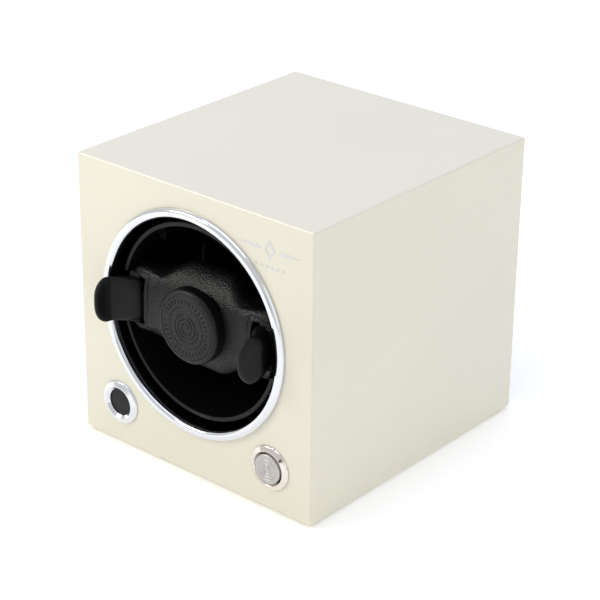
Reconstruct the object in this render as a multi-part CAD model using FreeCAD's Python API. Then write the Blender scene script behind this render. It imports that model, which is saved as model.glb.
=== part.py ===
"""Single watch winder in a lacquered cube cabinet.

A wooden cube stands on a felt base. Its front has a round, chrome-trimmed mouth, and behind the mouth a
drum turns on a shaft, driven through a flat belt by a gearmotor. A padded watch holder plugs into the drum
and carries two finger levers. A lamp window and a push button sit in the two lower front corners.

Frame: millimetres, +Z up, the front faces -Y, and the origin is the centre of the felt base's underside.
Depths called "d" are measured back from the front face, so a negative d stands proud of it.
"""

import os

import FreeCAD
import Part
from math import cos, hypot, radians, sin, sqrt, tan, atan2, pi

V = FreeCAD.Vector

# ---------------------------------------------------------------- driving dimensions
WIDTH = 140.0  # cabinet, X
DEPTH = 151.0  # cabinet, Y
HEIGHT = 140.0  # cabinet, Z, without the felt
BOARD = 9.0  # cabinet board thickness
EDGE_R = 1.0  # rounding of the cabinet's outer edges
FELT = 1.5  # felt base thickness
FELT_INSET = 2.0

FRONT = -DEPTH / 2
BACK = DEPTH / 2
BODY_Z0 = FELT
BODY_Z1 = FELT + HEIGHT
AXIS_Z = 77.0  # the drum's axis, along Y
INNER_X = WIDTH / 2 - BOARD

# mouth of the cabinet
MOUTH_R = 53.0  # hole in the front board
BEZEL_IN_R = 50.1
BEZEL_OUT_R = 54.7
BEZEL_PROUD = 2.4
BEZEL_SLEEVE = 7.0

# fixed can behind the mouth
CAN_IN_R = 50.3
CAN_OUT_R = 51.8
CAN_BACK_D = 67.5
CAN_WALL = 2.5
CAN_FLANGE_R = 59.0
CAN_FLANGE_T = 2.5
CAN_SCREW_R = 55.8

# turning drum
DRUM_IN_R = 45.0
DRUM_OUT_R = 47.0
DRUM_RIM_D = 3.5
DRUM_FLOOR_D = 55.0
DRUM_FLOOR_T = 3.0
DRUM_HUB_R = 9.0
DRUM_HUB_L = 5.0
NOTCH_HALF_Z = 12.6  # gap in the drum wall for each lever
NOTCH_DEEP = 10.0
RIB_X = 34.4  # four ribs along the drum's wall
RIB_W = 3.6
RIB_INNER_Z = 26.0
RIB_FRONT_D = 18.0
SOCKET_X = 30.0  # two sockets on the drum's floor, which hold the watch holder's pegs
SOCKET_OUT_R = 5.5
SOCKET_FRONT_D = 27.3
PEG_R = 2.5
PEG_L = 8.0

# shaft, bearings and drive
SHAFT_R = 3.0
RUN_CLEAR = 0.03  # radial clearance of a running fit
SHAFT_BACK_Y = 20.0
CARRIER_R = 9.0
CARRIER_FLANGE_R = 18.0
CARRIER_FLANGE_T = 3.0
CARRIER_BACK_Y = 8.0
CARRIER_SCREW_R = 14.0
BUSH_R = 6.0
BUSH_L = 5.0
BELT_Y0, BELT_Y1 = 12.5, 16.5
BELT_T = 0.9
BELT_CLEAR = 0.05
PULLEY_FLANGE = 2.0
PULLEY_SIDE = 1.2
DRUM_PULLEY_R = 20.0
MOTOR_PULLEY_R = 8.0
MOTOR_DROP = 38.5  # motor axis below the drum axis
MOTOR_Z = AXIS_Z - MOTOR_DROP
PLATE_Y0, PLATE_T = 22.0, 2.0
POST_X, POST_Z, POST_R = 30.0, 32.0, 3.5
GEARBOX_R, GEARBOX_L = 16.5, 18.0
MOTOR_R, MOTOR_L = 12.0, 19.0
MOTOR_FLAT_X = 9.5  # two flats on the motor's case
OUTPUT_R = 2.0

# watch holder
PAD_FRONT_D = 2.7
PAD_BACK_D = 27.0
PAD_END_R = 44.4
PAD_END_HALF = 17.4  # half height at the ends
PAD_MID_HALF = 24.0  # half height at the middle
PAD_SHOULDER_X = 25.0  # where the high middle has come down to the ends' height
PAD_CREST_X = 11.0
PAD_FRONT_FILLET = 7.0
PAD_BACK_FILLET = 8.5
SLOT_X = 32.6  # inner edge of each lever slot
SLOT_HALF_Z = 11.2
SLOT_DEEP = 8.0
CORE_HALF_X = 42.0
CORE_HALF_Z = 9.0
CORE_D0, CORE_D1 = 12.0, 24.0
BOSS_R = 17.8
BOSS_PROUD = 3.8
BOSS_EDGE = 2.4
BOSS_STEM_R = 4.0
PLATE_HALF_X = 36.0  # plate on the holder's back, which carries the two pegs
HOLDER_PLATE_T = 1.4

# finger levers, in plan, about the hinge pin: (outwards, forwards) at full spread
HINGE_X = 40.0
HINGE_D = 6.5
KNUCKLE_R = 3.6
PIN_R = 1.25
EAR_T = 2.2
LEVER_HALF_ROOT = 9.8
LEVER_HALF_TIP = 10.4
LEVER_REACH = 20.0
LEVER_CORNER = 8.6
NECK_O, NECK_F = -0.4, 6.0  # round neck where the lever leaves the slot: outwards and forwards of the pin
NECK_R = 3.2
NECK_HALF = 9.2
NECK_ROUND = 2.4
WASHER_T = 0.5
WASHER_GAP = 0.05
RIGHT_LEVER_CLOSED = 21.0  # how far the right lever stands closed from full spread, degrees

# lamp window and push button in the lower front corners
CORNER_X = 46.4
CORNER_Z = 22.3
TRIM_R = 10.9
TRIM_CREST_R = 8.3
TRIM_PROUD = 2.0
TRIM_BORE_R = 6.6
BARREL_R = 7.9
HOLE_R = 8.0
BARREL_BACK_D = 17.0
NUT_R = 9.7
NUT_T = 3.0
CAP_R = 7.15
CAP_PROUD = 2.3
BUTTON_TRAVEL = 1.2

# back of the cabinet
COVER_T = 4.0
COVER_RECESS = 1.0
COVER_GAP = 0.4
BLOCK = 12.0
JACK_X, JACK_Z = -40.0, 28.0
JACK_BARREL_R = 2.8
JACK_PIN_R = 1.0
JACK_DEEP = 9.5
JACK_BODY_R = 5.5
JACK_FACE_R, JACK_FACE_T = 7.0, 0.8
JACK_BODY_L = 9.0  # forward of the cover's inner face
JACK_NUT_R, JACK_NUT_T = 7.5, 2.5
COVER_SCREW_R, COVER_SCREW_L = 1.55, 12.0
COVER_SCREW_HEAD_R, COVER_SCREW_HEAD_T = 3.0, 1.0
AIR_SLOTS, AIR_SLOT_Z, AIR_SLOT_PITCH = 5, 96.0, 5.0
AIR_SLOT_HALF_X, AIR_SLOT_HALF_Z = 22.0, 1.0
BLOCK_L = 14.0

# circuit board on the left board, and the leads from it
PCB_Y0, PCB_Y1 = 6.0, 52.0
PCB_Z0, PCB_Z1 = 44.0, 104.0
PCB_STAND = 5.0
PCB_T = 1.6
PLUG_Y0 = 12.0  # four plugs in a row along the board's lower edge
PLUG_PITCH = 10.0
PLUG_W, PLUG_H, PLUG_T = 7.0, 5.0, 6.0
PLUG_Z0 = 51.5
LEAD_R = 1.0

# printed ornament, top right of the front
EMBLEM_X, EMBLEM_Z = 45.5, 127.0
EMBLEM_T = 0.12

OUT = "parts"


# ---------------------------------------------------------------- helpers
def yd(d):
    """The Y of a depth d behind the front face."""
    return FRONT + d


def rounded_wire(points, place):
    """A closed wire through (u, v, radius) corners, each rounded by a tangent arc, put in space by place."""
    n = len(points)
    spans = []
    for i in range(n):
        u, v, r = points[i]
        pu, pv, _ = points[i - 1]
        nu, nv, _ = points[(i + 1) % n]
        if r <= 0:
            spans.append(((u, v), None, (u, v)))
            continue
        a1, a2 = atan2(pv - v, pu - u), atan2(nv - v, nu - u)
        turn = abs((a2 - a1 + pi) % (2 * pi) - pi)
        run = r / tan(turn / 2)
        start = (u + run * cos(a1), v + run * sin(a1))
        end = (u + run * cos(a2), v + run * sin(a2))
        bu, bv = cos(a1) + cos(a2), sin(a1) + sin(a2)
        size = hypot(bu, bv)
        reach = r / sin(turn / 2) - r
        middle = (u + bu / size * reach, v + bv / size * reach)
        spans.append((start, middle, end))
    edges = []
    for i in range(n):
        start, middle, end = spans[i]
        if middle is not None:
            edges.append(Part.Arc(place(*start), place(*middle), place(*end)).toShape())
        onward = spans[(i + 1) % n][0]
        if hypot(onward[0] - end[0], onward[1] - end[1]) > 1e-6:
            edges.append(Part.LineSegment(place(*end), place(*onward)).toShape())
    return Part.Wire(edges)


def turned(points, x=0.0, z=AXIS_Z):
    """A solid of revolution about the line along Y through (x, z), from (radius, y, corner radius) points."""
    face = Part.Face(rounded_wire(points, lambda r, y: V(x + r, y, z)))
    return face.revolve(V(x, 0, z), V(0, 1, 0), 360)


def sharp(points):
    return [(u, v, 0) for u, v in points]


def ring(r_out, r_in, y0, y1, x=0.0, z=AXIS_Z):
    return turned(sharp([(r_in, y0), (r_out, y0), (r_out, y1), (r_in, y1)]), x, z)


def rod(r, y0, y1, x=0.0, z=AXIS_Z):
    return Part.makeCylinder(r, y1 - y0, V(x, y0, z), V(0, 1, 0))


def block(x0, x1, y0, y1, z0, z1):
    return Part.makeBox(x1 - x0, y1 - y0, z1 - z0, V(x0, y0, z0))


def prism_y(points, y0, y1):
    """An outline of (x, z, corner radius) points, drawn out along Y."""
    return Part.Face(rounded_wire(points, lambda u, v: V(u, y0, v))).extrude(V(0, y1 - y0, 0))


def hexagon(r_flat, y0, y1, x, z):
    """A hexagonal prism along Y, by its half width across flats."""
    corner = r_flat / cos(radians(30))
    points = [(x + corner * cos(radians(60 * k)), z + corner * sin(radians(60 * k)), 0) for k in range(6)]
    return prism_y(points, y0, y1)


def joined(shapes):
    """One solid from several that touch or overlap."""
    whole = shapes[0].multiFuse(shapes[1:]) if len(shapes) > 1 else shapes[0]
    return whole.removeSplitter()


def edges_at(shape, y):
    """The edges that lie wholly at one Y."""
    flat = 1e-6
    return [e for e in shape.Edges if abs(e.BoundBox.YMin - y) < flat and abs(e.BoundBox.YMax - y) < flat]


def pan_screw(r, length, head_r, head_t, x, z, y_seat, toward):
    """A screw along Y whose head sits at y_seat and whose shank runs toward +1 or -1, with a driver slot."""
    shank_end = y_seat + toward * length
    head_end = y_seat - toward * head_t
    shank = rod(r, min(y_seat, shank_end), max(y_seat, shank_end), x, z)
    head = rod(head_r, min(y_seat, head_end), max(y_seat, head_end), x, z)
    slot_y = sorted((head_end, head_end + toward * head_t * 0.45))
    slot = block(x - head_r, x + head_r, slot_y[0], slot_y[1], z - 0.3, z + 0.3)
    return joined([shank, head]).cut(slot)


def screw_hole(r, x, z, y0, y1):
    return rod(r, y0, y1, x, z)


def tag(x, z, y0, y1, half_x, half_z):
    """A flat solder tag along Y."""
    return block(x - half_x, x + half_x, y0, y1, z - half_z, z + half_z)


def around(count, radius, start_deg, z=AXIS_Z):
    """So many (x, z) places evenly spaced on a circle about the drum's axis."""
    angles = [radians(start_deg + 360 * k / count) for k in range(count)]
    return [(radius * cos(a), z + radius * sin(a)) for a in angles]


PARTS = {}


def add(name, *solids):
    PARTS[name] = Part.Compound(list(solids)) if len(solids) > 1 else solids[0]


# ---------------------------------------------------------------- cabinet
CAN_SCREWS = around(4, CAN_SCREW_R, 45)
COVER_SCREWS = [
    (sx * (INNER_X - BLOCK / 2), BODY_Z0 + BOARD + BLOCK / 2 if low else BODY_Z1 - BOARD - BLOCK / 2)
    for sx in (-1, 1)
    for low in (True, False)
]
COVER_Y1 = BACK - COVER_RECESS
COVER_Y0 = COVER_Y1 - COVER_T


def cabinet_boards():
    """Five boards mitred together along the cube's edges; the back is open."""
    half = WIDTH / 2
    outer = block(-half, half, FRONT, BACK, BODY_Z0, BODY_Z1)
    outer = outer.makeFillet(EDGE_R, outer.Edges)
    inner = block(-INNER_X, INNER_X, FRONT + BOARD, BACK + 1, BODY_Z0 + BOARD, BODY_Z1 - BOARD)
    shell = outer.cut(inner)
    zc = (BODY_Z0 + BODY_Z1) / 2

    def rectangle(y, hx, hz):
        corners = [V(-hx, y, zc - hz), V(hx, y, zc - hz), V(hx, y, zc + hz), V(-hx, y, zc + hz)]
        return Part.makePolygon(corners + corners[:1])

    outer_edge = rectangle(FRONT, half, HEIGHT / 2)
    inner_edge = rectangle(FRONT + BOARD, half - BOARD, HEIGHT / 2 - BOARD)
    front_block = Part.makeLoft([outer_edge, inner_edge], True)
    front = shell.common(front_block)
    front = front.cut(rod(MOUTH_R, FRONT - 1, FRONT + BOARD + 1))
    for sx in (-1, 1):
        front = front.cut(rod(HOLE_R, FRONT - 1, FRONT + BOARD + 1, sx * CORNER_X, CORNER_Z))
    for x, z in CAN_SCREWS:
        front = front.cut(screw_hole(1.2, x, z, FRONT + 3, FRONT + BOARD))
    add("front_panel", front)

    rest = shell.cut(front_block)
    low, high = BODY_Z0, BODY_Z1
    wedges = {
        "top_panel": [(-half, high), (half, high), (INNER_X, high - BOARD), (-INNER_X, high - BOARD)],
        "bottom_panel": [(-half, low), (half, low), (INNER_X, low + BOARD), (-INNER_X, low + BOARD)],
        "left_panel": [(-half, low), (-INNER_X, low + BOARD), (-INNER_X, high - BOARD), (-half, high)],
        "right_panel": [(half, low), (INNER_X, low + BOARD), (INNER_X, high - BOARD), (half, high)],
    }
    for name, outline in wedges.items():
        add(name, rest.common(prism_y(sharp(outline), FRONT, BACK)))


def base_felt():
    x = WIDTH / 2 - FELT_INSET
    felt = block(-x, x, FRONT + FELT_INSET, BACK - FELT_INSET, 0, FELT)
    upright = [e for e in felt.Edges if abs(e.tangentAt(e.FirstParameter).z) > 0.9]
    add("base_felt", felt.makeFillet(3.0, upright))


def back_cover():
    """A plain board let into the back, held by four screws into corner blocks."""
    x = INNER_X - COVER_GAP
    z0, z1 = BODY_Z0 + BOARD + COVER_GAP, BODY_Z1 - BOARD - COVER_GAP
    cover = block(-x, x, COVER_Y0, COVER_Y1, z0, z1)
    for screw_x, screw_z in COVER_SCREWS:
        cover = cover.cut(screw_hole(COVER_SCREW_R + 0.35, screw_x, screw_z, COVER_Y0 - 1, COVER_Y1 + 1))
    cover = cover.cut(rod(JACK_BODY_R + 0.1, COVER_Y0 - 1, COVER_Y1 + 1, JACK_X, JACK_Z))
    sx, sz, corner = AIR_SLOT_HALF_X, AIR_SLOT_HALF_Z, AIR_SLOT_HALF_Z - 0.1
    for k in range(AIR_SLOTS):
        z = AIR_SLOT_Z + AIR_SLOT_PITCH * k
        slot = [(-sx, z - sz, corner), (sx, z - sz, corner), (sx, z + sz, corner), (-sx, z + sz, corner)]
        cover = cover.cut(prism_y(slot, COVER_Y0 - 1, COVER_Y1 + 1))
    add("back_cover", cover)

    blocks, screws = [], []
    half = BLOCK / 2
    for x, z in COVER_SCREWS:
        glue_block = block(x - half, x + half, COVER_Y0 - BLOCK_L, COVER_Y0, z - half, z + half)
        blocks.append(glue_block.cut(screw_hole(COVER_SCREW_R + 0.05, x, z, COVER_Y0 - 10, COVER_Y0)))
        head = (COVER_SCREW_HEAD_R, COVER_SCREW_HEAD_T)
        screws.append(pan_screw(COVER_SCREW_R, COVER_SCREW_L, *head, x, z, COVER_Y1, -1))
    add("corner_blocks", *blocks)
    add("back_cover_screws", *screws)


def power_inlet():
    """Round socket for the mains adaptor's plug: a barrel with a centre pin, held by a nut behind the cover."""
    y_face = COVER_Y1 + JACK_FACE_T
    y_end = COVER_Y0 - JACK_BODY_L
    rim = rod(JACK_FACE_R, COVER_Y1, y_face, JACK_X, JACK_Z)
    body = joined([rim, rod(JACK_BODY_R, y_end, COVER_Y1, JACK_X, JACK_Z)])
    body = body.cut(rod(JACK_BARREL_R, y_face - JACK_DEEP, y_face + 1, JACK_X, JACK_Z))
    pin = rod(JACK_PIN_R, y_face - JACK_DEEP - 0.5, y_face - 1.0, JACK_X, JACK_Z)
    add("power_inlet", joined([body, pin]))
    nut = hexagon(JACK_NUT_R, COVER_Y0 - JACK_NUT_T, COVER_Y0, JACK_X, JACK_Z)
    thread = rod(JACK_BODY_R + 0.05, COVER_Y0 - JACK_NUT_T - 1, COVER_Y0 + 1, JACK_X, JACK_Z)
    add("power_inlet_nut", nut.cut(thread))
    tags = [tag(JACK_X, JACK_Z + s * 3.2, y_end - 4.0, y_end, 1.0, 0.3) for s in (-1, 1)]
    add("power_inlet_tags", *tags)


# ---------------------------------------------------------------- mouth and can
def front_bezel():
    """Polished ring with a rounded face, whose sleeve presses into the front board."""
    proud = FRONT - BEZEL_PROUD
    flange = [
        (BEZEL_IN_R, FRONT, 0),
        (BEZEL_IN_R, proud + 0.5, 0),
        (BEZEL_IN_R + 0.6, proud, 0.4),
        (BEZEL_OUT_R - 1.4, proud, 1.2),
        (BEZEL_OUT_R, FRONT - 0.5, 0.5),
        (BEZEL_OUT_R, FRONT, 0),
    ]
    sleeve = ring(MOUTH_R - 0.1, CAN_OUT_R + 0.1, FRONT, FRONT + BEZEL_SLEEVE)
    add("front_bezel", joined([turned(flange), sleeve]))


def drum_can():
    """Fixed black can that lines the mouth and carries the bearing; its flange screws to the front board."""
    y_back = yd(CAN_BACK_D)
    y_wall = y_back - CAN_WALL
    flange_y0 = FRONT + BOARD
    profile = [
        (CAN_IN_R, FRONT),
        (CAN_OUT_R, FRONT),
        (CAN_OUT_R, flange_y0),
        (CAN_FLANGE_R, flange_y0),
        (CAN_FLANGE_R, flange_y0 + CAN_FLANGE_T),
        (CAN_OUT_R, flange_y0 + CAN_FLANGE_T),
        (CAN_OUT_R, y_back),
        (CARRIER_R + 0.05, y_back),
        (CARRIER_R + 0.05, y_wall),
        (CAN_IN_R, y_wall),
    ]
    can = turned(sharp(profile))
    for x, z in CAN_SCREWS:
        can = can.cut(screw_hole(1.5, x, z, flange_y0 - 1, flange_y0 + CAN_FLANGE_T + 1))
    for x, z in around(3, CARRIER_SCREW_R, 90):
        can = can.cut(screw_hole(1.1, x, z, y_wall - 1, y_back + 1))
    for x, z in post_places():
        can = can.cut(screw_hole(1.6, x, z, y_wall - 1, y_back + 1))
    top = BODY_Z1 - BOARD - 0.2  # the flange is cut flat where it meets the top board
    add("drum_can", can.cut(block(-CAN_FLANGE_R, CAN_FLANGE_R, flange_y0 - 1, y_back, top, BODY_Z1)))
    seat = flange_y0 + CAN_FLANGE_T
    add("can_screws", *[pan_screw(1.15, 7.5, 2.6, 1.4, x, z, seat, -1) for x, z in CAN_SCREWS])


# ---------------------------------------------------------------- drum and drive
def drum():
    """Cup with two gaps in its wall for the levers, four ribs, and two sockets for the holder's pegs."""
    rim_y, floor_y = yd(DRUM_RIM_D), yd(DRUM_FLOOR_D)
    back_y = floor_y + DRUM_FLOOR_T
    profile = [
        (SHAFT_R + 0.02, floor_y, 0),
        (DRUM_IN_R, floor_y, 1.5),
        (DRUM_IN_R, rim_y, 0),
        (DRUM_OUT_R, rim_y, 0.4),
        (DRUM_OUT_R, back_y, 1.5),
        (DRUM_HUB_R, back_y, 0),
        (DRUM_HUB_R, back_y + DRUM_HUB_L, 0),
        (SHAFT_R + 0.02, back_y + DRUM_HUB_L, 0),
    ]
    cup = turned(profile)
    for sx in (-1, 1):
        x0, x1 = sorted((sx * 40.0, sx * (DRUM_OUT_R + 1)))
        gap = block(x0, x1, rim_y - 1, rim_y + NOTCH_DEEP, AXIS_Z - NOTCH_HALF_Z, AXIS_Z + NOTCH_HALF_Z)
        cup = cup.cut(gap)
    inside = []
    wall = rod(DRUM_IN_R + 0.5, yd(RIB_FRONT_D), floor_y + 0.5)
    for sx in (-1, 1):
        for sz in (-1, 1):
            z0, z1 = sorted((AXIS_Z + sz * RIB_INNER_Z, AXIS_Z + sz * DRUM_IN_R))
            x = sx * RIB_X
            rib = block(x - RIB_W / 2, x + RIB_W / 2, yd(RIB_FRONT_D), floor_y + 0.5, z0, z1)
            inside.append(rib.common(wall))
        bore_r = PEG_R + RUN_CLEAR
        inside.append(ring(SOCKET_OUT_R, bore_r, yd(SOCKET_FRONT_D), floor_y + 0.5, sx * SOCKET_X))
    add("drum", joined([cup] + inside))


def shaft_and_bearings():
    hub_y = yd(DRUM_FLOOR_D)
    groove_y = CARRIER_BACK_Y + 0.6
    shaft = rod(SHAFT_R, hub_y, SHAFT_BACK_Y)
    shaft = shaft.cut(ring(SHAFT_R + 1, SHAFT_R - 0.6, groove_y, groove_y + 0.9))
    flat_z = AXIS_Z + SHAFT_R - 0.5
    flat = block(-SHAFT_R, SHAFT_R, BELT_Y0 - 2, SHAFT_BACK_Y + 1, flat_z, flat_z + 1)
    add("drive_shaft", shaft.cut(flat))
    clip = ring(SHAFT_R + 2.2, SHAFT_R - 0.5, groove_y + 0.1, groove_y + 0.8)
    mouth = block(-1.7, 1.7, groove_y, groove_y + 1, AXIS_Z, AXIS_Z + SHAFT_R + 3)
    add("shaft_clip", clip.cut(mouth))

    y_back = yd(CAN_BACK_D)
    profile = [
        (SHAFT_R + 0.8, y_back - CAN_WALL),
        (CARRIER_R, y_back - CAN_WALL),
        (CARRIER_R, y_back),
        (CARRIER_FLANGE_R, y_back),
        (CARRIER_FLANGE_R, y_back + CARRIER_FLANGE_T),
        (CARRIER_R, y_back + CARRIER_FLANGE_T),
        (CARRIER_R, CARRIER_BACK_Y),
        (SHAFT_R + 0.8, CARRIER_BACK_Y),
    ]
    carrier = turned(sharp(profile))
    front_y, rear_y = y_back - CAN_WALL, CARRIER_BACK_Y - BUSH_L
    for y0 in (front_y, rear_y):
        carrier = carrier.cut(rod(BUSH_R, y0, y0 + BUSH_L))
    for x, z in around(3, CARRIER_SCREW_R, 90):
        carrier = carrier.cut(screw_hole(1.4, x, z, y_back - 1, y_back + CARRIER_FLANGE_T + 1))
    add("bearing_carrier", carrier)
    add("front_bearing", ring(BUSH_R, SHAFT_R + RUN_CLEAR, front_y, front_y + BUSH_L))
    add("rear_bearing", ring(BUSH_R, SHAFT_R + RUN_CLEAR, rear_y, rear_y + BUSH_L))
    seat = y_back + CARRIER_FLANGE_T
    places = around(3, CARRIER_SCREW_R, 90)
    add("carrier_screws", *[pan_screw(1.05, 5.0, 2.2, 1.3, x, z, seat, -1) for x, z in places])


def pulley(radius, bore_r, z):
    """A flat belt pulley: a plain face between two flanges, and a hub."""
    y0, y1 = BELT_Y0 - 0.3, BELT_Y1 + 0.3
    outer = radius + PULLEY_FLANGE
    profile = [
        (bore_r, y0 - PULLEY_SIDE, 0),
        (outer, y0 - PULLEY_SIDE, 0.3),
        (outer, y0, 0.3),
        (radius, y0, 0),
        (radius, y1, 0),
        (outer, y1, 0.3),
        (outer, y1 + PULLEY_SIDE, 0.3),
        (bore_r, y1 + PULLEY_SIDE, 0),
    ]
    return turned(profile, 0, z)


def belt_drive():
    wheel = pulley(DRUM_PULLEY_R, SHAFT_R + 0.02, AXIS_Z)
    y0, y1 = BELT_Y0 - 0.3, BELT_Y1 + 0.3
    for x, z in around(5, 12.0, 90):
        wheel = wheel.cut(rod(3.4, y0 - 3, y1 + 3, x, z))
    add("drum_pulley", wheel)
    add("motor_pulley", pulley(MOTOR_PULLEY_R, OUTPUT_R + 0.02, MOTOR_Z))

    def loop(grow):
        """The outline round both pulleys: two arcs and the two straight runs tangent to them."""
        big, small = DRUM_PULLEY_R + grow, MOTOR_PULLEY_R + grow
        lean = (big - small) / MOTOR_DROP  # sine of the straight runs' lean
        c, s = sqrt(1 - lean * lean), lean
        y = BELT_Y0
        right_top, right_low = V(big * c, y, AXIS_Z - big * s), V(small * c, y, MOTOR_Z - small * s)
        left_top, left_low = V(-big * c, y, AXIS_Z - big * s), V(-small * c, y, MOTOR_Z - small * s)
        edges = [
            Part.Arc(right_top, V(0, y, AXIS_Z + big), left_top).toShape(),
            Part.LineSegment(left_top, left_low).toShape(),
            Part.Arc(left_low, V(0, y, MOTOR_Z - small), right_low).toShape(),
            Part.LineSegment(right_low, right_top).toShape(),
        ]
        return Part.Face(Part.Wire(edges)).extrude(V(0, BELT_Y1 - BELT_Y0, 0))

    add("drive_belt", loop(BELT_CLEAR + BELT_T).cut(loop(BELT_CLEAR)))


def post_places():
    return [(sx * POST_X, AXIS_Z + sz * POST_Z) for sx in (-1, 1) for sz in (-1, 1)]


def motor_mount():
    """A steel plate stands on four posts behind the can, and carries the gearmotor on its back."""
    y_back = yd(CAN_BACK_D)
    z0, z1 = MOTOR_Z - GEARBOX_R - 2, AXIS_Z + POST_Z + 8
    half = POST_X + 8
    outline = [(-half, z0, 6), (half, z0, 6), (half, z1, 6), (-half, z1, 6)]
    plate = prism_y(outline, PLATE_Y0, PLATE_Y0 + PLATE_T)
    plate = plate.cut(rod(9.0, PLATE_Y0 - 1, PLATE_Y0 + PLATE_T + 1))
    plate = plate.cut(rod(6.0, PLATE_Y0 - 1, PLATE_Y0 + PLATE_T + 1, 0, MOTOR_Z))
    for x, z in post_places():
        plate = plate.cut(screw_hole(1.7, x, z, PLATE_Y0 - 1, PLATE_Y0 + PLATE_T + 1))
    ears = [(-12.0, MOTOR_Z), (12.0, MOTOR_Z)]
    for x, z in ears:
        plate = plate.cut(screw_hole(1.7, x, z, PLATE_Y0 - 1, PLATE_Y0 + PLATE_T + 1))
    add("motor_plate", plate)
    posts = []
    for x, z in post_places():
        post = rod(POST_R, y_back, PLATE_Y0, x, z)
        posts.append(post.cut(screw_hole(1.6, x, z, y_back - 1, PLATE_Y0 + 1)))
    add("plate_posts", *posts)
    add(
        "plate_screws",
        *[pan_screw(1.5, 9.0, 2.8, 1.6, x, z, PLATE_Y0 + PLATE_T, -1) for x, z in post_places()],
        *[pan_screw(1.5, 9.0, 2.8, 1.6, x, z, y_back - CAN_WALL, 1) for x, z in post_places()],
    )

    y0 = PLATE_Y0 + PLATE_T
    gearbox = turned(
        [
            (OUTPUT_R + RUN_CLEAR, y0, 0),
            (GEARBOX_R, y0, 0.6),
            (GEARBOX_R, y0 + GEARBOX_L, 0.6),
            (OUTPUT_R + RUN_CLEAR, y0 + GEARBOX_L, 0),
        ],
        0,
        MOTOR_Z,
    )
    gearbox = joined([gearbox, ring(5.9, OUTPUT_R + RUN_CLEAR, PLATE_Y0, y0, 0, MOTOR_Z)])
    for x, z in ears:
        gearbox = gearbox.cut(screw_hole(1.55, x, z, y0 - 1, y0 + 6))
    add("gearbox", gearbox)
    add("gearbox_screws", *[pan_screw(1.5, 6.5, 2.6, 1.5, x, z, PLATE_Y0, 1) for x, z in ears])
    can_y = y0 + GEARBOX_L
    motor = rod(MOTOR_R, can_y, can_y + MOTOR_L, 0, MOTOR_Z)
    end_y = can_y + MOTOR_L
    flat = MOTOR_FLAT_X
    motor = motor.common(block(-flat, flat, can_y - 1, end_y + 1, MOTOR_Z - MOTOR_R, MOTOR_Z + MOTOR_R))
    add("motor_case", joined([motor, rod(3.2, end_y, end_y + 1.6, 0, MOTOR_Z)]))
    add("motor_tags", *[tag(0, MOTOR_Z + s * 7.0, end_y, end_y + 4.0, 1.2, 0.25) for s in (-1, 1)])
    add("output_shaft", rod(OUTPUT_R, BELT_Y0 - 2.5, y0 + GEARBOX_L - 0.5, 0, MOTOR_Z))


# ---------------------------------------------------------------- watch holder
EAR_Z0 = LEVER_HALF_ROOT + WASHER_T + 2 * WASHER_GAP
EAR_Z1 = EAR_Z0 + EAR_T


def pad_outline():
    """Front outline of the pad: high in the middle, lower at both ends, (x, z, corner radius)."""
    x_end, high, low = CORE_HALF_X + 3.0, PAD_MID_HALF, PAD_END_HALF
    upper = [(x_end, low, 0), (PAD_SHOULDER_X, low, 9), (PAD_CREST_X, high, 12)]
    top = upper + [(-x, z, r) for x, z, r in reversed(upper)]
    bottom = [(-x, -z, r) for x, z, r in top]
    return [(x, AXIS_Z + z, r) for x, z, r in top + bottom]


def upright(radius, half, side):
    """A cylinder on one of the two hinge lines; side is -1 left, +1 right."""
    return Part.makeCylinder(radius, 2 * half, V(side * HINGE_X, yd(HINGE_D), AXIS_Z - half), V(0, 0, 1))


def holder_core_shape():
    """Stiff bar along the pad, with a pair of ears at each end for a lever's hinge pin."""
    z0, z1 = AXIS_Z - CORE_HALF_Z, AXIS_Z + CORE_HALF_Z
    pieces = [block(-CORE_HALF_X, CORE_HALF_X, yd(CORE_D0), yd(CORE_D1), z0, z1)]
    ear_in, ear_out = HINGE_X - 3.4, CORE_HALF_X + 1.0
    for sx in (-1, 1):
        x0, x1 = sorted((sx * ear_in, sx * ear_out))
        for sz in (-1, 1):
            low, high = sorted((AXIS_Z + sz * EAR_Z0, AXIS_Z + sz * EAR_Z1))
            pieces.append(block(x0, x1, yd(HINGE_D - 2.4), yd(CORE_D0 + 6), low, high))
        pieces.append(block(x0, x1, yd(CORE_D0), yd(CORE_D0 + 6), AXIS_Z - EAR_Z1, AXIS_Z + EAR_Z1))
    shape = joined(pieces).common(rod(PAD_END_R - 0.6, yd(0), yd(CORE_D1 + 1)))
    for sx in (-1, 1):
        shape = shape.cut(upright(PIN_R, EAR_Z1 + 1, sx))
    shape = shape.cut(rod(1.35, yd(CORE_D0) - 1, yd(CORE_D1) + 1))
    return shape


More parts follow.
